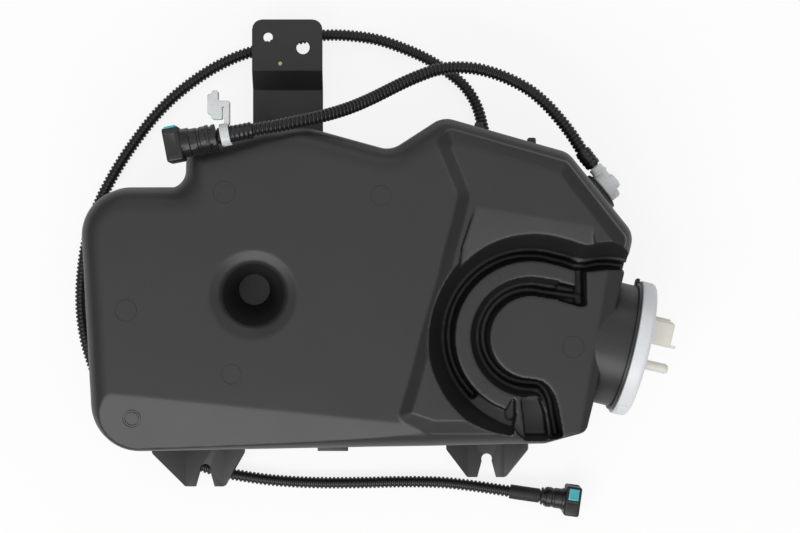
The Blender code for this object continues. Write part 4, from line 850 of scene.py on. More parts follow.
@dataclass
class Form:
    """The moulded form at one depth: the outside, or the inside one wall further in.

    Attributes:
        wall: How far in the form lies.
        turn_step: Turn between points of an arc.
        rounding: Steps of each edge rounding.
        front_round: Radius of the rounding round the front face.
        back_round: Radius of the rounding round the back.
        mesa_slope: How far in the raised field's edge lies from its foot.
        ledge_z: Height of the channels' ledges.
        ramp_climb: How far the outer ledge climbs to its closed end.
        flare: How far a groove widens from its floor to the front face.
    """

    wall: float = 0.0
    turn_step: float = math.radians(4)
    rounding: int = 9
    front_round: float = 16 * MM
    back_round: float = 25 * MM
    mesa_slope: float = 8.5 * MM
    ledge_z: float = 84 * MM
    ramp_climb: float = 4 * MM
    flare: float = 1.2 * MM

    def build(self, name: str) -> bpy.types.Object:
        """Loft the body, add the raised field and cut the face, the channels and the recess."""
        form = self.body(name)
        low_facet, face = self.face_cuts()
        combine(form, low_facet)
        combine(form, self.mesa(), "UNION")
        for cut in face + self.channel_cuts() + [self.vent_recess()]:
            combine(form, cut)
        return form

    def body(self, name: str) -> bpy.types.Object:
        """Side walls with draft, and the rounded edges of front and back."""
        wall, levels = self.wall, []
        back, front = self.back_round - wall, self.front_round - wall
        swings = [math.pi / 2 * step / self.rounding for step in range(self.rounding + 1)]
        for swing in swings[::-1]:
            levels.append((BACK_Z + wall + back * (1 - math.sin(swing)),
                           wall + back * (1 - math.cos(swing))))
        levels = sorted(levels)
        levels.append((PARTING_Z, wall - DRAFT))
        for swing in swings:
            levels.append((FRONT_Z - wall - front * (1 - math.sin(swing)),
                           wall + front * (1 - math.cos(swing))))
        return skinned(name, [level(rounded_outline(OUTLINE, inset, MM, self.turn_step), z)
                              for z, inset in levels])

    def mesa(self) -> bpy.types.Object:
        """Raised field that carries the channel."""
        corners = [(x, y, 6) for x, y in MESA_FOOT]
        foot = rounded_outline(corners, self.wall - 2 * MM)
        edge = rounded_outline(corners, self.wall)
        top = rounded_outline(corners, self.wall + self.mesa_slope)
        return skinned("mesa", [level(foot, FRONT_Z - 12 * MM),
                                level(edge, FRONT_Z - 0.4 * MM - self.wall),
                                level(top, MESA_Z - self.wall)])

    def arc(self, radius: float, start: float, stop: float) -> list:
        """Points of an arc about the channel's centre, its angles in degrees."""
        count = max(2, round(math.radians(abs(stop - start)) / self.turn_step))
        angles = [math.radians(start + (stop - start) * i / count) for i in range(count + 1)]
        return [Vector((CHANNEL[0] + radius * math.cos(a), CHANNEL[1] + radius * math.sin(a)))
                for a in angles]

    def groove(self, path: list, floor_z: float, left: tuple, right: tuple,
               lifts: list | None = None, fades: list | None = None) -> bpy.types.Object:
        """Sweep a flat-floored, flared section along a plan path, up through the front face.

        Args:
            path: Plan points.
            floor_z: Height of the floor outside.
            left: Reach to the left at the floor and at the front face.
            right: Reach to the right at both.
            lifts: How far the floor rises at each point.
            fades: Share of the flare that is kept at each point.

        Returns:
            The cutter.
        """
        top_z = MESA_Z + 4 * MM
        lifts, fades = lifts or [0.0] * len(path), fades or [1.0] * len(path)
        path = [path[0] + (path[0] - path[1]).normalized() * self.wall, *path[1:-1],
                path[-1] + (path[-1] - path[-2]).normalized() * self.wall]
        rings = []
        for i, point in enumerate(path):
            ahead = path[min(i + 1, len(path) - 1)] - path[max(i - 1, 0)]
            side = Vector((-ahead.y, ahead.x)).normalized()
            ring = []
            for sign, pair in ((1, left), (-1, right)):
                lean = fades[i] * (pair[1] - pair[0]) / (FRONT_Z - floor_z)
                ring.append([(*(point + side * sign * (pair[0] + self.wall + lean * height)), z)
                             for height, z in ((top_z - floor_z, top_z),
                                               (lifts[i], floor_z + lifts[i] - self.wall))])
            rings.append([*ring[0], ring[1][1], ring[1][0]])
        return skinned("groove", rings)

    @staticmethod
    def halfway(values: list) -> list:
        """Values between neighbours, so that stacked cuts share no cross edges."""
        return [values[0], *[(a + b) / 2 for a, b in zip(values, values[1:])], values[-1]]

    def outer_middle(self) -> float:
        """Radius of the outer groove's centre line."""
        return (RIDGE_OUTER_R + self.flare + OUTER_LEDGE_R) / 2

    def outer_channel(self) -> list:
        """Deep groove outside the ridge and the wider cut above it with its ledge and ramp."""
        middle = self.outer_middle()
        ridge, ledge = middle - RIDGE_OUTER_R, OUTER_LEDGE_R - middle
        path = self.arc(middle, *OUTER_TURN) + in_mm(OUTER_TAIL)
        ramp = self.arc(middle, *RAMP_TURN)
        lifts = [self.ramp_climb * (1 - i / (len(ramp) - 1)) for i in range(len(ramp) - 1)]
        lifts += [0.0] * len(path)
        deep_wall = (ridge - self.flare - GROOVE_SETBACK, ridge - GROOVE_SETBACK)
        return [self.groove(path, OUTER_FLOOR_Z, (ledge - self.flare, ledge), deep_wall),
                self.groove(self.halfway(ramp[:-1] + path), self.ledge_z,
                            (ledge + LEDGE_W, RIM_R - middle), (ridge - self.flare / 2, ridge),
                            self.halfway(lifts))]

    def inner_channel(self) -> list:
        """Deep groove round the boss and the wider cut above it with its ledge."""
        middle = (BOSS_R + self.flare + INNER_LEDGE_R) / 2
        boss, ledge = middle - BOSS_R, INNER_LEDGE_R - middle
        lean = (RIDGE_INNER_R - INNER_LEDGE_R - LEDGE_W) / (PLATEAU_Z - self.ledge_z)
        at_face = ledge + LEDGE_W + lean * (FRONT_Z - self.ledge_z)
        turn = self.arc(middle, *INNER_TURN) + in_mm(INNER_TAIL)
        deep = in_mm(INNER_START) + turn
        wide = in_mm(INNER_LEDGE_START) + turn
        fades = [1.0] * (len(wide) - 6) + [0.4, 0.2, 0.1, 0.1, 0.1, 0.1]
        deep_wall = (boss - self.flare - GROOVE_SETBACK, boss - GROOVE_SETBACK)
        return [self.groove(deep, INNER_FLOOR_Z, deep_wall, (ledge - self.flare, ledge)),
                self.groove(self.halfway(wide), self.ledge_z, (boss - self.flare / 2, boss),
                            (ledge + LEDGE_W, at_face), None, self.halfway(fades))]

    def prism(self, plan: list, floor_z: float) -> bpy.types.Object:
        """Slightly flared pocket cutter over a plan polygon in millimetres."""
        corners = self.corners(in_mm(plan), 2 * MM)
        low = rounded_outline(corners, -self.wall, 1.0)
        top = rounded_outline(corners, -self.wall - self.flare, 1.0)
        return skinned("pocket", [level(low, floor_z - self.wall), level(top, FRONT_Z + 16 * MM)])

    @staticmethod
    def corners(plan: list, radius: float) -> list:
        """Plan points as fillet corners, taken anticlockwise."""
        area = sum(a.x * b.y - a.y * b.x for a, b in zip(plan, plan[1:] + plan[:1]))
        return [(p.x, p.y, radius) for p in (plan if area > 0 else plan[::-1])]

    def sloped(self, plan: list, height_at: Callable) -> bpy.types.Object:
        """Cutter for all that lies above a plane, within a plan outline in metres."""
        outline = rounded_outline(self.corners(plan, 1 * MM), -self.wall, 1.0)
        low = [Vector((p.x, p.y, height_at(p.x, p.y))) for p in outline]
        return skinned("facet", [low, level(outline, FRONT_Z + 25 * MM)])

    @staticmethod
    def falling(start: Vector, end: Vector, z: float, slope: float) -> Callable:
        """Height of a plane that falls away to the right of a crease seen from its start."""
        along = (end - start).normalized()
        right = Vector((along.y, -along.x))
        return lambda x, y: z - slope * (Vector((x, y)) - start).dot(right)

    def channel_cuts(self) -> list:
        """All cuts of the double channel and the lowered field round it."""
        plateau_z = PLATEAU_Z - self.wall
        edge = self.arc(self.outer_middle(), *PLATEAU_TURN)
        plateau = self.sloped(edge + in_mm(PLATEAU_REST), lambda x, y: plateau_z)
        slope = self.sloped(in_mm(NECK_FIELD), self.falling(
            *in_mm(NECK_CREASE), plateau_z - 0.2 * MM, NECK_FALL))
        return [plateau, slope, *self.outer_channel(), *self.inner_channel(),
                *[self.prism(plan, floor * MM) for plan, floor in CHANNEL_POCKETS]]

    def face_cuts(self) -> tuple:
        """Lower facet, cone dimple and the facet beside the channel."""
        wall, sides = self.wall, 72
        rings = [(CONE_FLOOR, 6.4, 48 * MM), (CONE_FLOOR, 8.4, 52 * MM),
                 (CONE_LIP, 19, FRONT_Z - 5 * MM), (CONE_LIP, 21.5, FRONT_Z - 2.6 * MM),
                 (CONE_LIP, 28, FRONT_Z + 0.1 * MM)]
        cone = skinned("cone", [*[circle(centre, radius * MM + wall, z - wall, sides)
                                  for centre, radius, z in rings],
                                circle(CONE_LIP, 30 * MM + wall, FRONT_Z + 10 * MM, sides)])
        low, high = in_mm(LOW_CREASE), in_mm(HIGH_CREASE)
        low_cut = self.sloped(low + in_mm([(60, -135), (-215, -135)]),
                              self.falling(*low, FRONT_Z - wall, LOW_FACET_FALL))
        high_cut = self.sloped(high + in_mm(HIGH_REST),
                               self.falling(*high, MESA_Z - wall, HIGH_FALL))
        return low_cut, [cone, high_cut]

    def vent_recess(self) -> bpy.types.Object:
        """Pocket in the back for the vent elbow, open to the top edge."""
        corners = [(p.x, p.y, 5 * MM) for p in in_mm(VENT_RECESS)]
        return skinned("vent_recess", [
            level(rounded_outline(corners, -self.wall - 2 * MM, 1.0), -5 * MM),
            level(rounded_outline(corners, -self.wall, 1.0), VENT_RECESS_Z + self.wall)])


@dataclass
class TankShell:
    """Blow-moulded shell with its C-shaped double channel, neck, lugs and openings.

    Attributes:
        voxel: Size of the remesh that turns the sharp cuts into moulded fillets.
        soften: Rounds of smoothing after it.
        limit: Triangles kept in the outside.
        sway: Height of the uneven cooling of the wall.
        wall: Thickness of the wall.
        marks: Plan place, height and radius of each round mark, in millimetres.
        pads: Plan places of the rest pads under the back, in millimetres.
        lugs: Plan places of the lugs on the top edge, in millimetres.
    """

    voxel: float = 0.85 * MM
    soften: int = 5
    limit: int = 178000
    sway: float = 0.16 * MM
    wall: float = 3 * MM
    marks: tuple = ((-109.2, 46.3, 105.0, 6.8), (-11.8, 44.2, 105.0, 6.2),
                    (-170.5, -27.3, 105.0, 6.7), (-104.8, -66.9, 105.0, 6.2),
                    (108.8, -50.5, 95.0, 6.7), (59.9, -7.9, 95.0, 3.6), (51.5, -76.0, 95.0, 3.5))
    pads: tuple = ((-160, 10), (-150, -52), (0, 0), (100, -60), (100, 25))
    lugs: tuple = ((51.6, 94.1), (86.4, 84.2))

    def build(self) -> None:
        """Mould the outside, add what stands crisp, hollow it and open its holes."""
        shell = Form().build("tank_moulding")
        self.blurred_fittings(shell)
        voxel = self.voxel * 1.0
        modified(shell, "REMESH", mode="VOXEL", voxel_size=voxel)
        modified(shell, "SMOOTH", factor=0.5, iterations=self.soften)
        count = 2 * len(shell.data.polygons)
        modified(shell, "DECIMATE", ratio=min(1.0, self.limit / count))
        self.settle(shell)
        self.crisp_fittings(shell)
        self.hollow(shell)
        settled(shell, 28)
        place(shell, "tank", Look.SHELL, ("tank_shell",))

    def blurred_fittings(self, shell: bpy.types.Object) -> None:
        """Add what grows out of the wall with a fillet: neck root, seat, lugs and rest pads."""
        neck_root = [(0, -3), (39.2, -3), (39.2, -13), (36.1, -26), (0, -26)]
        seat_root = [(0, -0.8), (13.4, -0.8), (13.4, -5.2), (0, -5.2)]
        weld(shell, turned("neck_root", neck_root, neck_frame()))
        weld(shell, turned("seat_root", seat_root, valve_frame()))
        for x, y in self.lugs:
            weld(shell, box_piece("lug", (x - 2.7, y - 14, 39.6), (x + 2.7, y + 0.3, 50.4)))
        for x, y in self.pads:
            corners = [(x - 17, y - 12, 5), (x + 17, y - 12, 5), (x + 17, y + 12, 5),
                       (x - 17, y + 12, 5)]
            weld(shell, skinned("pad", [level(rounded_outline(corners, 2 * MM), 0.0),
                                        level(rounded_outline(corners), BACK_Z + MM)]))

    def settle(self, shell: bpy.types.Object) -> None:
        """Let the outside wander a little, as a cooled moulding does."""
        mesh = shell.data
        normals = [Vector(item.vector) for item in mesh.vertex_normals]
        for vertex, normal in zip(mesh.vertices, normals):
            wave = noise.noise(vertex.co / 0.045) + 0.4 * noise.noise(vertex.co / 0.017)
            vertex.co += normal * (wave * self.sway)

    def crisp_fittings(self, shell: bpy.types.Object) -> None:
        """Add the neck with its bead, the parting line, the tab and the round marks."""
        neck = [(0, 4), (37.2, 4), (37.5, 3.7), (37.5, 0), (41.7, 0), (42, -0.3), (42, -1.7),
                (41.7, -2), (40, -2), (40, -13), (36.5, -26), (0, -26)]
        weld(shell, turned("neck", neck, neck_frame(), 128))
        lug = box_piece("bead_lug", (38, -4, -2.5), (45, 4, -0.2),
                        neck_frame() @ Matrix.Rotation(math.radians(-97), 4, "Z"))
        weld(shell, rounded(lug, 0.5 * MM, 2))
        seat = [(0, 0), (13.4, 0), (14, -0.6), (14, -4.2), (0, -4.2)]
        weld(shell, turned("valve_seat", seat, valve_frame()))
        rib = [(-0.9, 0.05), (-0.3, 0.45), (0.3, 0.45), (0.9, 0.05)]
        weld(shell, skinned("parting", [
            level(rounded_outline(OUTLINE, -DRAFT - out * MM), PARTING_Z + z * MM)
            for z, out in rib]))
        weld(shell, rounded(box_piece("tab", (-54, -121, 46), (-34, -108, 49)), 0.5 * MM, 2))
        for x, y, z, radius in self.marks:
            self.mark(shell, Matrix.Translation(Vector((x, y, z)) * MM), radius)
        tilt = Matrix.Rotation(math.atan(LOW_FACET_FALL), 4, Vector((1, -0.1, 0)))
        spot = Matrix.Translation(Vector((-167.5, -94.9, 101.0)) * MM) @ tilt
        for radius in (5.7, 4.3):
            self.mark(shell, spot, radius)

    @staticmethod
    def mark(shell: bpy.types.Object, seat: Matrix, radius: float) -> None:
        """Press one thin ring into the face, its radius in millimetres."""
        inner, outer = radius - 0.22, radius + 0.22
        ring = [(inner, -0.3), (outer, -0.3), (outer, 1.5), (inner, 1.5)]
        combine(shell, turned("mark", ring, seat, 56))

    def hollow(self, shell: bpy.types.Object) -> None:
        """Take the inside out, leaving the screw bosses, and cut the openings."""
        core = Form(self.wall, math.radians(14), 3).build("core")
        bosses = [Matrix.Translation((x * MM, y * MM, 0)) for x, y in SCREW_SPOTS]
        for seat in bosses:
            combine(core, turned("boss", rod(6.5, 0, 29), seat, 24))
        combine(shell, core)
        elbow = Matrix.Translation(Vector((*ELBOW_SPOT, 0)) * MM)
        holes = [(neck_frame(), rod(35, -28, 20)), (valve_frame(), rod(7.5, -20, 10)),
                 (elbow, rod(6, 19, 36)), *[(seat, rod(2.8, 0, 24.5)) for seat in bosses]]
        for seat, profile in holes:
            combine(shell, turned("hole", profile, seat, 64))


def neck_frame() -> Matrix:
    """Frame of the neck: origin on the plane of its mouth, local Z straight out."""
    return axis_frame(NECK_CENTRE, in_plane(NECK_ANGLE))


def valve_frame() -> Matrix:
    """Frame of the fill valve: origin on its seat at the nearest wall, local Z straight out."""
    corners = [Vector((x, y)) * MM for x, y, _ in OUTLINE]
    spot = Vector((128.5, 47.3)) * MM

    def foot_on(start: Vector, end: Vector) -> tuple:
        """Nearest point of one side, and the side's direction."""
        along = end - start
        share = min(max((spot - start).dot(along) / along.length_squared, 0.0), 1.0)
        return start + along * share, along.normalized()

    foot, along = min((foot_on(a, b) for a, b in zip(corners, corners[1:] + corners[:1])),
                      key=lambda found: (found[0] - spot).length)
    out = Vector((along.y, -along.x, 0))
    return axis_frame(Vector((foot.x, foot.y, PARTING_Z)) + out * (DRAFT + 2.2 * MM), out)


@dataclass
class Hose:
    """Corrugated hose along a smooth route, with its taped or sleeved stretches.

    Attributes:
        name: Name of the hose.
        knots: Points of its route in millimetres, between its straight leads.
        start: Frame of its first end, local Z along the hose.
        end: Frame of the connector's mouth that it ends in.
        connector: Length of that connector from its mouth.
        pitch: Distance between ridges.
        crest: Radius over the ridges.
        root: Radius between them.
        lead: Straight length next to each fitting.
        gap: Clearance between the hose and its fittings.
        spacing: Distance between the route's points.
        line: Fine samples of the route, made by prepare.
        marks: Length of the hose up to each sample.
    """

    name: str
    knots: list
    start: Matrix
    end: Matrix
    connector: float
    pitch: float = 2.75 * MM
    crest: float = 4.15 * MM
    root: float = 3.2 * MM
    lead: float = 11 * MM
    gap: float = 0.3 * MM
    spacing: float = 15 * MM
    line: list = field(default_factory=list)
    marks: list = field(default_factory=list)

    def route(self) -> list:
        """The centre line's points, straight next to both fittings."""
        first = [self.start @ Vector((0, 0, self.gap)), self.start @ Vector((0, 0, self.lead))]
        last = [self.end @ Vector((0, 0, -self.connector - self.lead)),
                self.end @ Vector((0, 0, -self.connector - self.gap))]
        free = smooth_route([*first, *in_mm(self.knots), *last], self.spacing)
        clear = self.lead + self.spacing / 2
        inner = [p for p in free
                 if (p - first[0]).length > clear and (p - last[1]).length > clear]
        return [*first, *inner, *last]

    def prepare(self) -> None:
        """Sample the route finely and measure it."""
        self.line = smooth_route(self.route(), 0.9 * MM)
        self.marks = [0.0]
        for p, q in zip(self.line, self.line[1:]):
            self.marks.append(self.marks[-1] + (q - p).length)

    def at(self, mark: float) -> tuple:
        """Point and direction at a length along the hose."""
        mark = min(max(mark, 0.0), self.marks[-1] - 1e-9)
        i = min(int(mark / self.marks[-1] * (len(self.line) - 1)), len(self.line) - 2)
        while self.marks[i] > mark:
            i -= 1
        while self.marks[i + 1] < mark:
            i += 1
        share = (mark - self.marks[i]) / (self.marks[i + 1] - self.marks[i])
        return (self.line[i].lerp(self.line[i + 1], share),
                (self.line[min(i + 2, len(self.line) - 1)] - self.line[max(i - 1, 0)])
                .normalized())

    def tube(self, name: str, sections: list, sides: int, bore: float = 0.0) \
            -> bpy.types.Object:
        """Skin rings of given radii along the hose.

        Args:
            name: Name of the piece.
            sections: (length along the hose, radius, swing of an uneven radius) of each ring.
            sides: Points of a ring.
            bore: Radius of the hole through it.

        Returns:
            The piece.
        """
        shape = bmesh.new()
        across = Vector((0, 0, 1))
        rows, bores = [], []
        for mark, radius, wobble in sections:
            point, along = self.at(mark)
            across = (across - along * across.dot(along)).normalized()
            up = along.cross(across)
            arms = [across * math.cos(math.tau * i / sides) + up * math.sin(math.tau * i / sides)
                    for i in range(sides)]
            rows.append([shape.verts.new(point + arm * (radius + wobble * math.cos(
                math.tau * i / sides * 2 + mark / (3.1 * MM)))) for i, arm in enumerate(arms)])
            if bore:
                bores.append([shape.verts.new(point + arm * bore) for arm in arms])
        loops = [*rows, *bores[::-1]]
        pairs = list(zip(loops, loops[1:]))
        if bore:
            pairs.append((loops[-1], loops[0]))
        else:
            shape.faces.new(rows[0][::-1])
            shape.faces.new(rows[-1])
        for lower, upper in pairs:
            for i in range(sides):
                j = (i + 1) % sides
                shape.faces.new((lower[i], lower[j], upper[j], upper[i]))
        bmesh.ops.recalc_face_normals(shape, faces=shape.faces)
        return piece_from(name, shape)

    def build(self, nodes: tuple, carried: list) -> bpy.types.Object:
        """Args:
            nodes: CAD nodes that it stands for.
            carried: Pieces on its far end and round it; not used.

        Returns:
            The hose.
        """
        total = self.marks[-1]
        count = round(total / self.pitch)
        wave = ((0.02, self.root), (0.30, self.root), (0.40, self.crest - 0.2 * MM),
                (0.50, self.crest), (0.82, self.crest), (0.92, self.crest - 0.2 * MM))
        sections = [((i + share) * total / count, radius, 0.0)
                    for i in range(count) for share, radius in wave]
        hose = settled(self.tube(self.name + "_corrugated", sections, 20), 50)
        place(hose, "tank", Look.HOSE, nodes)
        points = self.route()
        length = sum((q - p).length for p, q in zip(points, points[1:]))
        2 * self.crest
        LOG.info("%s: %.0f mm", hose.name, length / MM)
        return hose

    def wrap(self, node: str, low: float, high: float, radius: float, ridge: float,
             look: "Look") -> bpy.types.Object:
        """Wrap a stretch of the hose in tape or a sleeve through which its ridges show.

        Args:
            node: CAD node that the wrap stands for.
            low: Where it starts along the hose.
            high: Where it ends.
            radius: Its outer radius.
            ridge: How far the ridges show.
            look: Its finish.

        Returns:
            The wrap.
        """
        step = self.pitch / 8
        count = round((high - low) / step)
        sections = [(low, radius - 0.5 * MM, 0.0)]
        for i in range(count + 1):
            mark = low + (high - low) * i / count
            swell = ridge * math.cos(math.tau * mark / self.pitch)
            sections.append((mark + 0.01 * MM, radius - ridge + swell, ridge * 0.35))
        sections.append((high + 0.02 * MM, radius - 0.5 * MM, 0.0))
        piece = settled(self.tube(node + "_wrap", sections, 28, self.crest + 0.15 * MM), 50)
        place(piece, "tank", look, (node,))
        return piece


@dataclass
class QuickConnector:
    """Quick connector with its head, collar, barrel, tail and release button.

    Attributes:
        label: Start of its nodes' names.
        seat: Frame of its mouth, local Z out and local X where the button faces.
        across: Width of the head. This and all sizes below are in millimetres.
        deep: Depth of the head.
        collar_r: Radius of the collar behind the head.
        collar: Length of the collar.
        barrel_r: Radius of the barrel.
        barrel: Length of the barrel.
        tail_r: Radius of the tail's ridges.
        tail: Length of the tail.
        pipe_r: Radius of the bore for the pipe that plugs in.
        head: Length of the head.
    """

    label: str
    seat: Matrix
    across: float
    deep: float
    collar_r: float
    collar: float
    barrel_r: float
    barrel: float
    tail_r: float
    tail: float
    pipe_r: float
    head: float = 10.6

    def length(self) -> float:
        """Length from the mouth to the hose end, in metres."""
        return (self.head + self.collar + self.barrel + self.tail) * MM

    def stem(self) -> list:
        """Profile of the collar, the grooved barrel and the ridged tail behind the head."""
        collar = -self.head - self.collar
        barrel = collar - self.barrel
        tail, step = barrel - self.tail, self.tail / 3
        return [(0, 1 - self.head), (self.collar_r - 0.5, 1 - self.head),
                (self.collar_r, 0.2 - self.head), (self.collar_r, collar + 0.5),
                (self.collar_r - 0.4, collar), (self.barrel_r, collar),
                (self.barrel_r, collar - 0.45 * self.barrel),
                (self.barrel_r - 0.5, collar - 0.5 * self.barrel),
                (self.barrel_r - 0.5, collar - 0.62 * self.barrel),
                (self.barrel_r, collar - 0.67 * self.barrel), (self.barrel_r, barrel),
                (self.tail_r - 0.3, barrel), (self.tail_r, barrel - 0.3),
                (self.tail_r, barrel - step), (self.tail_r - 1.2, barrel - step),
                (self.tail_r - 1.2, tail + step), (self.tail_r - 0.4, tail + step),
                (self.tail_r - 0.4, tail), (0, tail)]

    def bore(self) -> list:
        """Profile of the mouth, the pipe's bore, the O-ring chamber and the hole behind it."""
        pipe, end = self.pipe_r, -self.head - 1
        chamber, back = pipe + 1.75, end - 6.2
        far = -self.length() / MM - 5
        return [(0, 5), (pipe + 1.1, 5), (pipe + 1.1, -0.6), (pipe + 0.3, -1.6),
                (pipe + 0.3, end), (chamber, end), (chamber, back), (pipe, back),
                (pipe, back - 3), (2.8, back - 4), (2.8, far), (0, far)]

    def build(self) -> list:
        """Model the connector and return its pieces."""
        seat, head, deep, across = self.seat, self.head, self.deep / 2, self.across / 2
        body = rounded(box_piece(self.label + "_connector", (-deep, -across, -head),
                                 (deep, across, 0), seat), 1.6 * MM, 3)
        weld(body, turned("stem", self.stem(), seat, 64))
        combine(body, turned("bore", self.bore(), seat, 48))
        low, off, slit = deep - 1.5, -4.8, across * 0.08
        cuts = [("pocket", (low - 1.8, off - 4.1, 1.6 - head), (deep + 5, off + 4.1, -1.6)),
                ("slit", (deep - 0.8, slit, 1.9 - head), (deep + 2, slit + 0.9, -1.9)),
                *[("side_step", (-deep * 0.62, side * across - 0.5, 3.2 - head),
                   (deep * 0.62, side * across + 0.5, 1)) for side in (-1, 1)]]
        for name, start, end in cuts:
            combine(body, box_piece(name, start, end, seat))
        rounded(body, 0.25 * MM, 2)
        place(body, "tank", Look.BLACK, (self.label + "_connector_body",))
        button = box_piece(self.label + "_button", (low, off - 3.8, 1.9 - head),
                           (low + 2.2, off + 3.8, -1.9), seat)
        for i in range(4):
            z = 3.2 + i * 1.35 - head
            combine(button, box_piece("grip", (low + 1.9, off - 2.6, z),
                                      (low + 3, off + 2.6, z + 0.5), seat))
        rounded(button, 0.35 * MM, 3)
        place(button, self.label + "_button", Look.TEAL, (self.label + "_release_button",))
        return [body, button]


@dataclass
class LockRing:
    """White ring that holds the pump flange, with two low stops on its rim.

    Attributes:
        radius: Outer radius in millimetres.
        top: Height over the neck's mouth in millimetres.
    """

    radius: float = 44
    top: float = 9.9

    def build(self) -> None:
        """Turn the ring and add its stops."""
        r, top = self.radius, self.top
        profile = [(33.5, top), (r - 2.6, top), (r - 1.5, top - 0.3), (r - 0.6, top - 1.0),
                   (r - 0.1, top - 2.2), (r, top - 3.2), (r, 1.1), (r - 0.25, 0.5),
                   (r - 0.8, 0.3), (37.89, 0.3), (37.89, 8.1), (33.5, 8.1)]
        ring = turned("lock_ring_moulded", profile, neck_frame(), 144)
        for angle in (62, -118):
            turn = neck_frame() @ Matrix.Rotation(math.radians(angle), 4, "Z")
            stop = box_piece("stop", (r - 2, -5, 1.2), (r + 0.5, 5, top - 3.0), turn)
            weld(ring, rounded(stop, 0.4 * MM, 2))
        place(settled(ring, 35), "lock_ring", Look.WHITE, ("lock_ring",))


@dataclass
class PumpFlange:
    """Ivory flange with its domed lid, plug shroud with keys, and outlet stub.

    Attributes:
        plug_y: Place of the plug across the flange, in millimetres.
        port_y: Place of the outlet stub, in millimetres.
        base: Height at which both stand on the lid, in millimetres.
        tip: Height of the shroud's end, in millimetres.
    """

    plug_y: float = -14
    port_y: float = 8.2
    base: float = 8.8
    tip: float = 27.8

    def build(self) -> None:
        """Turn the flange and stub, box the shroud, and cut the socket and bore."""
        seat, y, base, tip = neck_frame(), self.plug_y, self.base, self.tip
        profile = [(0, 9.8), (30.0, 9.8), (32.0, 9.3), (32.7, 8.8), (32.7, 7.8), (37.2, 7.8),
                   (37.2, 5.8), (34.4, 5.8), (34.4, -12.2), (32.4, -12.2), (32.4, 5.8), (0, 5.8)]
        flange = turned("pump_flange_moulded", profile, seat, 120)
        for r in (12, 22):
            rib = [(r, 9.5), (r + 1.2, 9.5), (r + 1.2, 10.5), (r, 10.5)]
            weld(flange, turned("rib", rib, seat, 96))
        blocks = [("shroud", (-6, y - 7.7, base), (6, y + 7.7, tip), 1.2, 3),
                  ("collar", (-7, y - 8.6, base), (7, y + 8.6, base + 3.6), 0, 0),
                  ("key", (-2.5, y + 3.5, base), (2.5, y + 8.3, tip + 4), 1.0, 3),
                  ("latch", (-2, y - 9.9, base + 3), (2, y - 6.7, tip - 3), 0.6, 2),
                  *[("side_rib", (x - 0.6, y - 8.5, base), (x + 0.6, y - 7.0, tip - 1.5), 0, 0)
                    for x in (-4.2, 4.2)]]
        for name, low, high, edge, segments in blocks:
            block = box_piece(name, low, high, seat)
            if edge:
                rounded(block, edge * MM, segments)
            weld(flange, block)
        stub = [(0, 30.3), (2.1, 30.3), (2.5, 30.0), (3.6, 27.8), (3.2, 27.8), (3.2, 13.5),
                (3.4, 12.0), (4.4, 10.0), (4.6, base), (0, base)]
        port = seat @ Matrix.Translation((0, self.port_y * MM, 0))
        weld(flange, turned("stub", stub, port, 48))
        combine(flange, box_piece("socket", (-4.5, y - 6.2, 11.8), (4.5, y + 6.2, tip + 12),
                                  seat))
        combine(flange, turned("bore", rod(1.7, 0.8, 60), port, 32))
        rounded(flange, 0.3 * MM, 2)
        place(flange, "tank", Look.IVORY, ("pump_flange",))


@dataclass
class FillValve:
    """White right-angle valve in its black grommet.

    Attributes:
        arm: Length of the arm that takes the hose, in millimetres.
        arm_out: Height of the arm over the valve's seat, in millimetres.
    """

    arm: float = 14.5
    arm_out: float = 7.6

    def arm_frame(self, reach: float = 0.0) -> Matrix:
        """Frame on the arm's axis at a reach from its root, local Z towards the hose."""
        return (valve_frame() @ Matrix.Translation((0, -reach * MM, self.arm_out * MM))
                @ Matrix.Rotation(math.pi / 2, 4, "X"))

    def build(self) -> None:
        """Turn the valve and the grommet, add the arm and drill the bores."""
        ring = [(5.3, 1.9), (11.6, 1.9), (12.5, 1.6), (13, 1.1), (13, 0.3), (7.2, 0.3),
                (7.2, -6), (5.3, -6)]
        grommet = turned("fill_grommet_moulded", ring, valve_frame(), 72)
        place(settled(grommet), "tank", Look.RUBBER, ("fill_grommet",))
        shape = [(0, 13.4), (3.6, 13.4), (4.6, 13.0), (5.2, 12.2), (5.2, 9.8), (6.0, 9.5),
                 (8.6, 9.3), (9.4, 8.9), (9.7, 8.2), (9.7, 2.9), (9.3, 2.3), (5, 2.2), (5, -8),
                 (0, -8)]
        body = turned("fill_valve_moulded", shape, valve_frame(), 72)
        tube = [(0, 0), (4.6, 0), (4.6, 8.8), (5.4, 9.2), (5.4, 10.6), (4.6, 11.0),
                (4.6, self.arm - 0.3), (4.3, self.arm), (0, self.arm)]
        weld(body, turned("arm", tube, self.arm_frame(), 48))
        combine(body, turned("arm_bore", rod(2.5, -2, 18), self.arm_frame(), 32))
        combine(body, turned("stem_bore", rod(2.6, -12, 7.6), valve_frame(), 32))
        rounded(body, 0.3 * MM, 2)
        place(body, "tank", Look.WHITE, ("fill_valve",))


@dataclass
class Brackets:
    """Pressed strap and feet with rounded edges, and the paint dot.

    Attributes:
        edge: Width of the rounding of the sheets' edges.
    """

    edge: float = 0.45 * MM

    def build(self) -> None:
        """Round the pressed sheets and dab the paint on the strap."""
        for node in ("top_bracket", "left_foot", "right_foot"):
            place(fine_copy(node, self.edge, 3), "tank", Look.STEEL, (node,))
        profile = [(0, 0.22), (0.8, 0.2), (1.25, 0.12), (1.4, -0.1), (0, -0.1)]
        spot = Matrix.Translation(Vector((-80.6, 136.5, 19.7)) * MM)
        place(settled(turned("paint_dot", profile, spot, 32), 60), "tank", Look.GREEN)


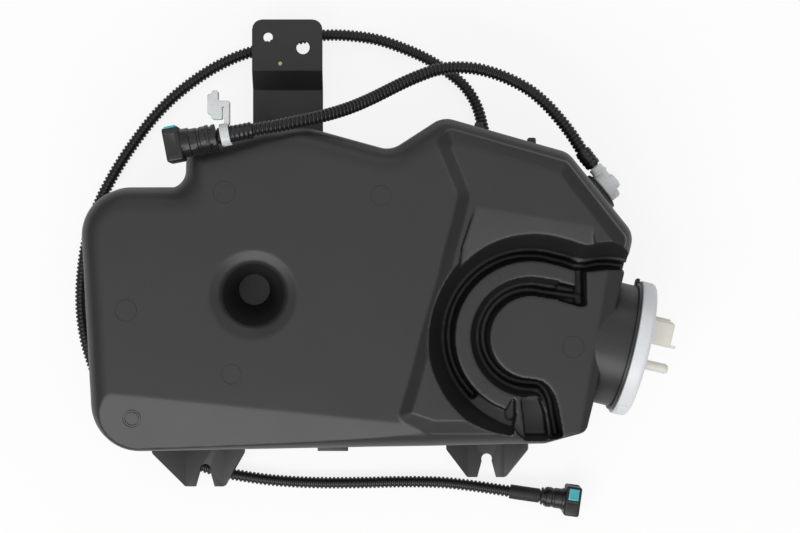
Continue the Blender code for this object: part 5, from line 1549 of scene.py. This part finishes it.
@dataclass
class Carried:
    """CAD nodes whose shape is right: hidden pieces inside and behind, dressed in place."""

    looks: dict = field(default_factory=lambda: {
        Look.RUBBER: ("neck_seal", "vent_grommet", "fill_o_ring_outer", "fill_o_ring_inner",
                      "vent_o_ring_outer", "vent_o_ring_inner"),
        Look.TIN: ("terminal_pin_1", "terminal_pin_2"),
        Look.BLACK: ("swirl_pot", "outlet_tube"),
        Look.CAN: ("pump_body",),
        Look.MESH: ("strainer",),
        Look.WHITE: ("fill_spacer", "vent_spacer"),
        Look.ZINC: tuple(f"{name}_screw_{side}" for name in
                         ("top_bracket", "left_foot", "right_foot") for side in "ab")})

    def build(self) -> None:
        """Give each carried node its finish, and round those seen from behind."""
        for look, nodes in self.looks.items():
            for node in nodes:
                dress(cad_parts[node], look)
        place(fine_copy("vent_elbow", 0.3 * MM, 2), "tank", Look.BLACK, ("vent_elbow",))
        place(fine_copy("hose_clip", 0.35 * MM, 3), "tank", Look.CLEAR, ("hose_clip",))


def connectors() -> list:
    """Both quick connectors, not yet built."""
    fill_seat = axis_frame(Vector((-145.0, 74.2, 109.6)) * MM, in_plane(math.radians(191)),
                           (0, 1, 0))
    vent_seat = axis_frame(Vector((121.8, -159.3, 9.6)) * MM, in_plane(math.radians(-8)))
    return [QuickConnector("fill", fill_seat, across=18.5, deep=21.4, collar_r=9.0, collar=5,
                           barrel_r=8.1, barrel=10, tail_r=8.5, tail=6.2, pipe_r=4.9),
            QuickConnector("vent", vent_seat, across=20.1, deep=17.6, collar_r=7.4, collar=2,
                           barrel_r=6.8, barrel=10.4, tail_r=6.3, tail=3.4, pipe_r=4.0)]


def fit(line: Hose, connector: QuickConnector, wraps: list) -> None:
    """Model a connector and the wraps of its hose, then the hose that carries them.

    Args:
        line: The hose.
        connector: The connector on its far end.
        wraps: Node, start, end, radius, ridge and finish of each wrap, in millimetres. A
            negative start or end counts back from the connector.
    """
    line.prepare()
    total = line.marks[-1]
    carried = connector.build()
    for node, start, end, radius, ridge, look in wraps:
        low, high = (mark * MM + (total if mark < 0 else 0.0) for mark in (start, end))
        carried.append(line.wrap(node, low, high, radius * MM, ridge * MM, look))
    carried += [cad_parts[f"{connector.label}_{name}"]
                for name in ("o_ring_outer", "o_ring_inner", "spacer")]
    line.build((line.name,), carried)


def hoses(fill: QuickConnector, vent: QuickConnector) -> None:
    """Model both hoses with their connectors and wraps."""
    valve = FillValve()
    line = Hose("fill_hose", FILL_ROUTE, valve.arm_frame(valve.arm), fill.seat, fill.length(),
                spacing=13 * MM)
    fit(line, fill, [("fill_hose_tape_valve_end", 1, 13, 5.35, 0.22, Look.TAPE),
                     ("fill_hose_tape_connector_end", -22, -1, 5.35, 0.22, Look.TAPE)])
    out = in_plane(math.radians(112))
    elbow = Vector((*ELBOW_SPOT, 9.5)) * MM + out * 15 * MM
    line = Hose("vent_hose", VENT_ROUTE, axis_frame(elbow, out), vent.seat, vent.length(),
                crest=4.0 * MM, root=3.1 * MM, spacing=17 * MM)
    fit(line, vent, [("vent_hose_sleeve", -21, -1, 4.9, 0.03, Look.RUBBER)])


def main() -> None:
    """Build the studio, then the hoses, then the rest of the tank, piece by piece."""
    logging.basicConfig(level=logging.INFO, format="%(message)s")
    bpy.context.scene.view_settings.view_transform = "Standard"
    Studio().build()
    hoses(*connectors())
    TankShell().build()
    for assembly in (LockRing(), PumpFlange(), FillValve(), Brackets(), Carried()):
        assembly.build()


if __name__ == "__main__":
    main()
